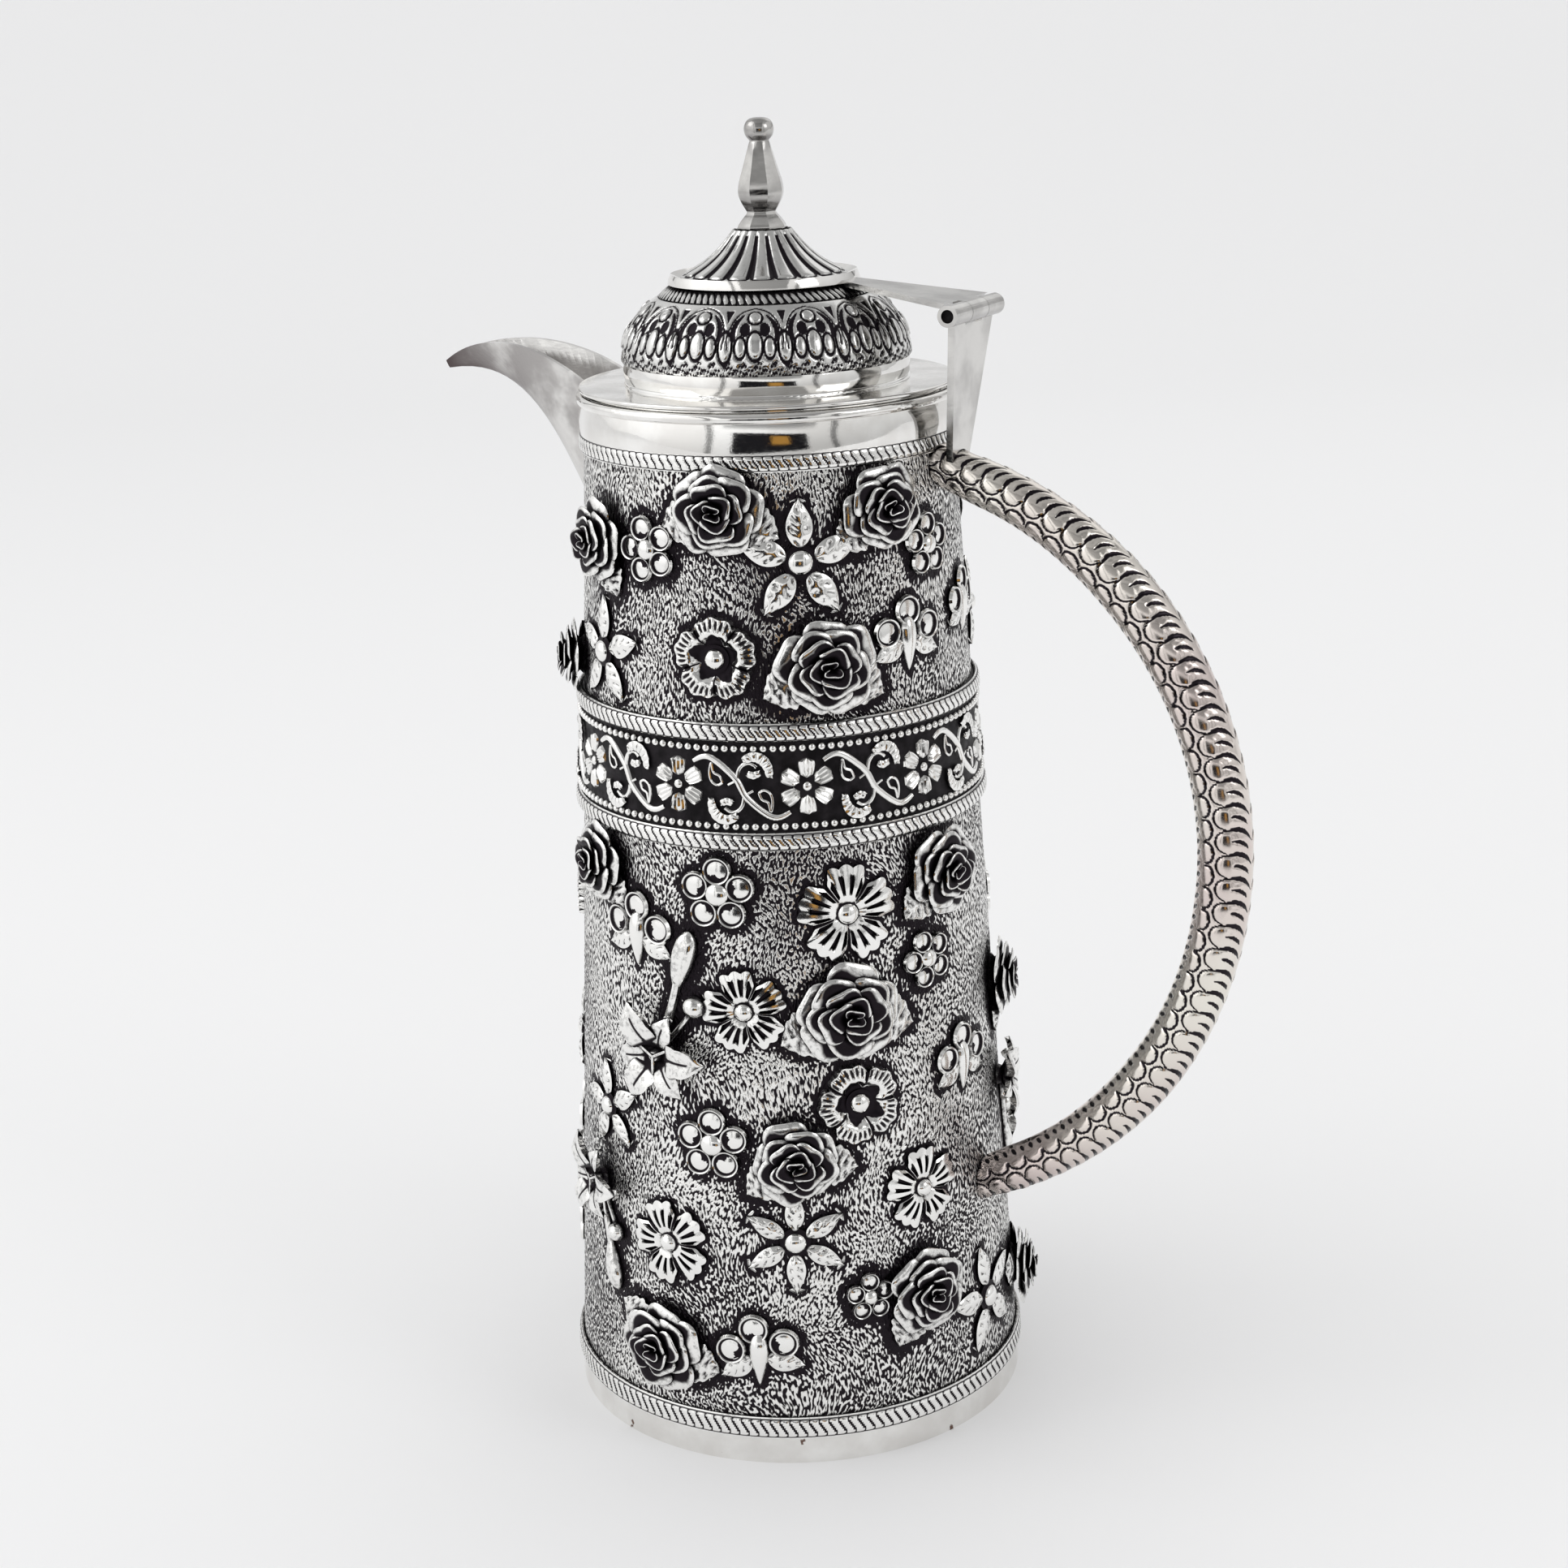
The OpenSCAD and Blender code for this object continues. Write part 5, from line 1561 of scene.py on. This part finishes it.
class POT_OT_strands(bpy.types.Operator):
    """Lays a band of slanted cuts round the foot, both sides of the belt and the collar"""

    bl_idname = "pot.strands"
    bl_label = "Roped bands"

    def execute(self, context):
        bright = finish_named("belt silver")
        bands = (
            ("foot_rope_strands", "foot_rope", 152, -0.60),
            ("belt_lower_strands", "belt_lower_rope", 136, -0.75),
            ("belt_upper_strands", "belt_upper_rope", 136, -0.75),
            ("collar_strands", "collar_rope", 126, -0.65),
        )
        for name, node, count, slant in bands:
            z = low(node).z
            tall = high(node).z - z
            proud = high(node).y - wall_radius(z + tall / 2)
            band = ticked_band(name, z, tall, proud + TICK_PROUD, count, slant)
            dress(band, "pot", "chased_silver", bright)
        return {"FINISHED"}


BOUQUETS = (
    # piece, its flowers, what makes one, the node it replaces, its finish
    ("rose_blooms_upper", ROSES, rose, "roses", "rose silver"),
    ("rose_blooms_front", LOW_ROSES[:8], rose, "roses", "rose silver"),
    ("rose_blooms_back", LOW_ROSES[8:], rose, "roses", "rose silver"),
    ("daisy_blooms", DAISIES, daisy, "daisies", "flat silver"),
    ("poppy_blooms", POPPIES, poppy, "poppies", "flat silver"),
    ("round_blooms", ROUNDS, round_blossom, "round_blossoms", "flat silver"),
    ("star_blooms", STARS, leaf_star, "leaf_stars", "flat silver"),
    ("bell_blooms", BELLS, bell_flower, "bell_flowers", "flat silver"),
    ("lily_sprays", LILIES, lily, "lilies", "rose silver"),
)
# The halo is painted shade and patina, narrower round the low flat flowers.
FLAT_HALO = 0.5                  # halo of a flat flower, as a share of a tall one's


class POT_OT_flowers(bpy.types.Operator):
    """Solders the applied flowers on the wall"""

    bl_idname = "pot.flowers"
    bl_label = "Applied flowers"

    def execute(self, context):
        for name, rows, make, node, metal in BOUQUETS:
            dress(bouquet(name, rows, make), "pot", "chased_silver", finish_named(metal), node)
        return {"FINISHED"}


class POT_OT_shade_round_flowers(bpy.types.Operator):
    """Paints shade and patina on the ground close round the flowers"""

    bl_idname = "pot.soot"
    bl_label = "Black round the flowers"

    def execute(self, context):
        # The mark is painted shade and patina, wider round the tall roses and lilies than round the
        # flat flowers.
        halo = context.scene.pot_finish.halo
        trees = [
            (surface_tree([row[0] for row in BOUQUETS if row[-1] == metal]), reach)
            for metal, reach in (("rose silver", halo), ("flat silver", halo * FLAT_HALO))
        ]
        for name in ("lower_ground", "upper_ground"):
            ground = bpy.data.objects[name]
            near = []
            for vertex in ground.data.vertices:
                gaps = [(tree.find_nearest(vertex.co, reach)[3], reach) for tree, reach in trees]
                near.append(max(0.0 if gap is None else 1 - gap / reach for gap, reach in gaps))
            mark(ground, "soot", near)
        return {"FINISHED"}


def surface_tree(names):
    """The faces of some pieces, ready to be asked for the nearest one."""
    points, faces = [], []
    for name in names:
        data = bpy.data.objects[name].data
        first = len(points)
        points += [vertex.co.copy() for vertex in data.vertices]
        faces += [[first + i for i in face.vertices] for face in data.polygons]
    return BVHTree.FromPolygons(points, faces)


class POT_OT_belt(bpy.types.Operator):
    """Lays the scrollwork on the belt"""

    bl_idname = "pot.belt"
    bl_label = "Belt scrollwork"

    def execute(self, context):
        bright = finish_named("belt silver")
        dress(belt_scrolls(), "pot", "chased_silver", bright, "belt_scrollwork")
        return {"FINISHED"}


RING_TOP = 20.2 * MM             # radius at which the roped ring's slope ends


class POT_OT_lid(bpy.types.Operator):
    """Chases the dome, its roped ring, the fluted cone and the finial"""

    bl_idname = "pot.lid"
    bl_label = "Chased lid"

    def execute(self, context):
        chased = finish_named("lid silver")
        dress(dome_skin(), "lid", "chased_silver", chased)
        dress(cone_skin(), "lid", "chased_silver", chased, "lid_cone")
        dress(finial_skin(), "lid", "polished_silver", finish_named("smoked silver"), "finial")
        z0, z1 = low("lid_rope_ring").z + 0.15 * MM, high("lid_rope_ring").z
        outer = high("lid_rope_ring").y
        strands = strand_band(
            "lid_rope_strands", z0, math.hypot(outer - RING_TOP, z1 - z0), stand=0.34 * MM,
            count=84, share=0.74, slant=-0.4, lean=math.atan2(outer - RING_TOP, z1 - z0),
            radius=outer,
        )
        dress(strands, "lid", "chased_silver", chased)
        return {"FINISHED"}


class POT_OT_plain_skins(bpy.types.Operator):
    """Gives the collar, the lid's neck and the cone's rim their smooth hammered sheets"""

    bl_idname = "pot.plain_skins"
    bl_label = "Hammered sheets"

    def execute(self, context):
        polished = finish_named("polished silver")
        foot = low("lid_cone").z
        rim = barrel_skin(
            "cone_rim", CONE_EDGE, 17.5 * MM, foot, foot + 1.2 * MM, swell=0.05 * MM, hammer=0.0,
            depth=3 * MM,
        )
        dress(rim, "lid", "polished_silver", polished)
        z0, z1 = low("collar_band").z, high("collar_band").z
        proud = high("collar_band").y - wall_radius(z0)
        collar = barrel_skin(
            "collar_skin", wall_radius(z0) + proud, wall_radius(z1) + proud, z0, z1,
            swell=0.35 * MM,
        )
        dress(collar, "pot", "polished_silver", polished)
        neck_low, neck_top = low("lid_neck").z + 0.8 * MM, high("lid_neck").z
        radius = radius_at("lid_neck", neck_top)
        neck = barrel_skin("neck_skin", radius, radius, neck_low, neck_top, swell=0.3 * MM)
        dress(neck, "lid", "polished_silver", polished)
        return {"FINISHED"}


class POT_OT_grip(bpy.types.Operator):
    """Engraves the tube of the handle"""

    bl_idname = "pot.grip"
    bl_label = "Engraved grip"

    def execute(self, context):
        dress(
            grip_skin(), "pot", "handle_silver", finish_named("engraved silver"),
            "handle_grip", "handle_upper_socket", "handle_lower_socket",
        )
        return {"FINISHED"}


class POT_PT_panel(bpy.types.Panel):
    """Lists the steps that dress the pot"""

    bl_label = "Coffee Pot"
    bl_idname = "POT_PT_panel"
    bl_space_type = "VIEW_3D"
    bl_region_type = "UI"
    bl_category = "Coffee Pot"

    def draw(self, context):
        for step in STEPS:
            self.layout.operator(step.bl_idname)
        for group in (context.scene.pot_finish, context.scene.pot_stage):
            for name in group.__annotations__:
                self.layout.prop(group, name)


STEPS = (
    POT_OT_stage, POT_OT_bare_metal, POT_OT_grounds, POT_OT_strands, POT_OT_belt, POT_OT_lid,
    POT_OT_plain_skins, POT_OT_grip, POT_OT_flowers, POT_OT_shade_round_flowers,
)
CLASSES = (PotFinish, PotStage, *STEPS, POT_PT_panel)


def register():
    for item in CLASSES:
        bpy.utils.register_class(item)
    bpy.types.Scene.pot_finish = PointerProperty(type=PotFinish)
    bpy.types.Scene.pot_stage = PointerProperty(type=PotStage)


def unregister():
    del bpy.types.Scene.pot_stage
    del bpy.types.Scene.pot_finish
    for item in reversed(CLASSES):
        bpy.utils.unregister_class(item)


def main():
    register()
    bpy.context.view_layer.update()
    bpy.ops.pot.stage()
    bpy.ops.pot.bare_metal()
    bpy.ops.pot.grounds()
    bpy.ops.pot.strands()
    bpy.ops.pot.belt()
    bpy.ops.pot.lid()
    bpy.ops.pot.plain_skins()
    bpy.ops.pot.grip()
    bpy.ops.pot.flowers()
    bpy.ops.pot.soot()


if __name__ == "__main__":
    main()
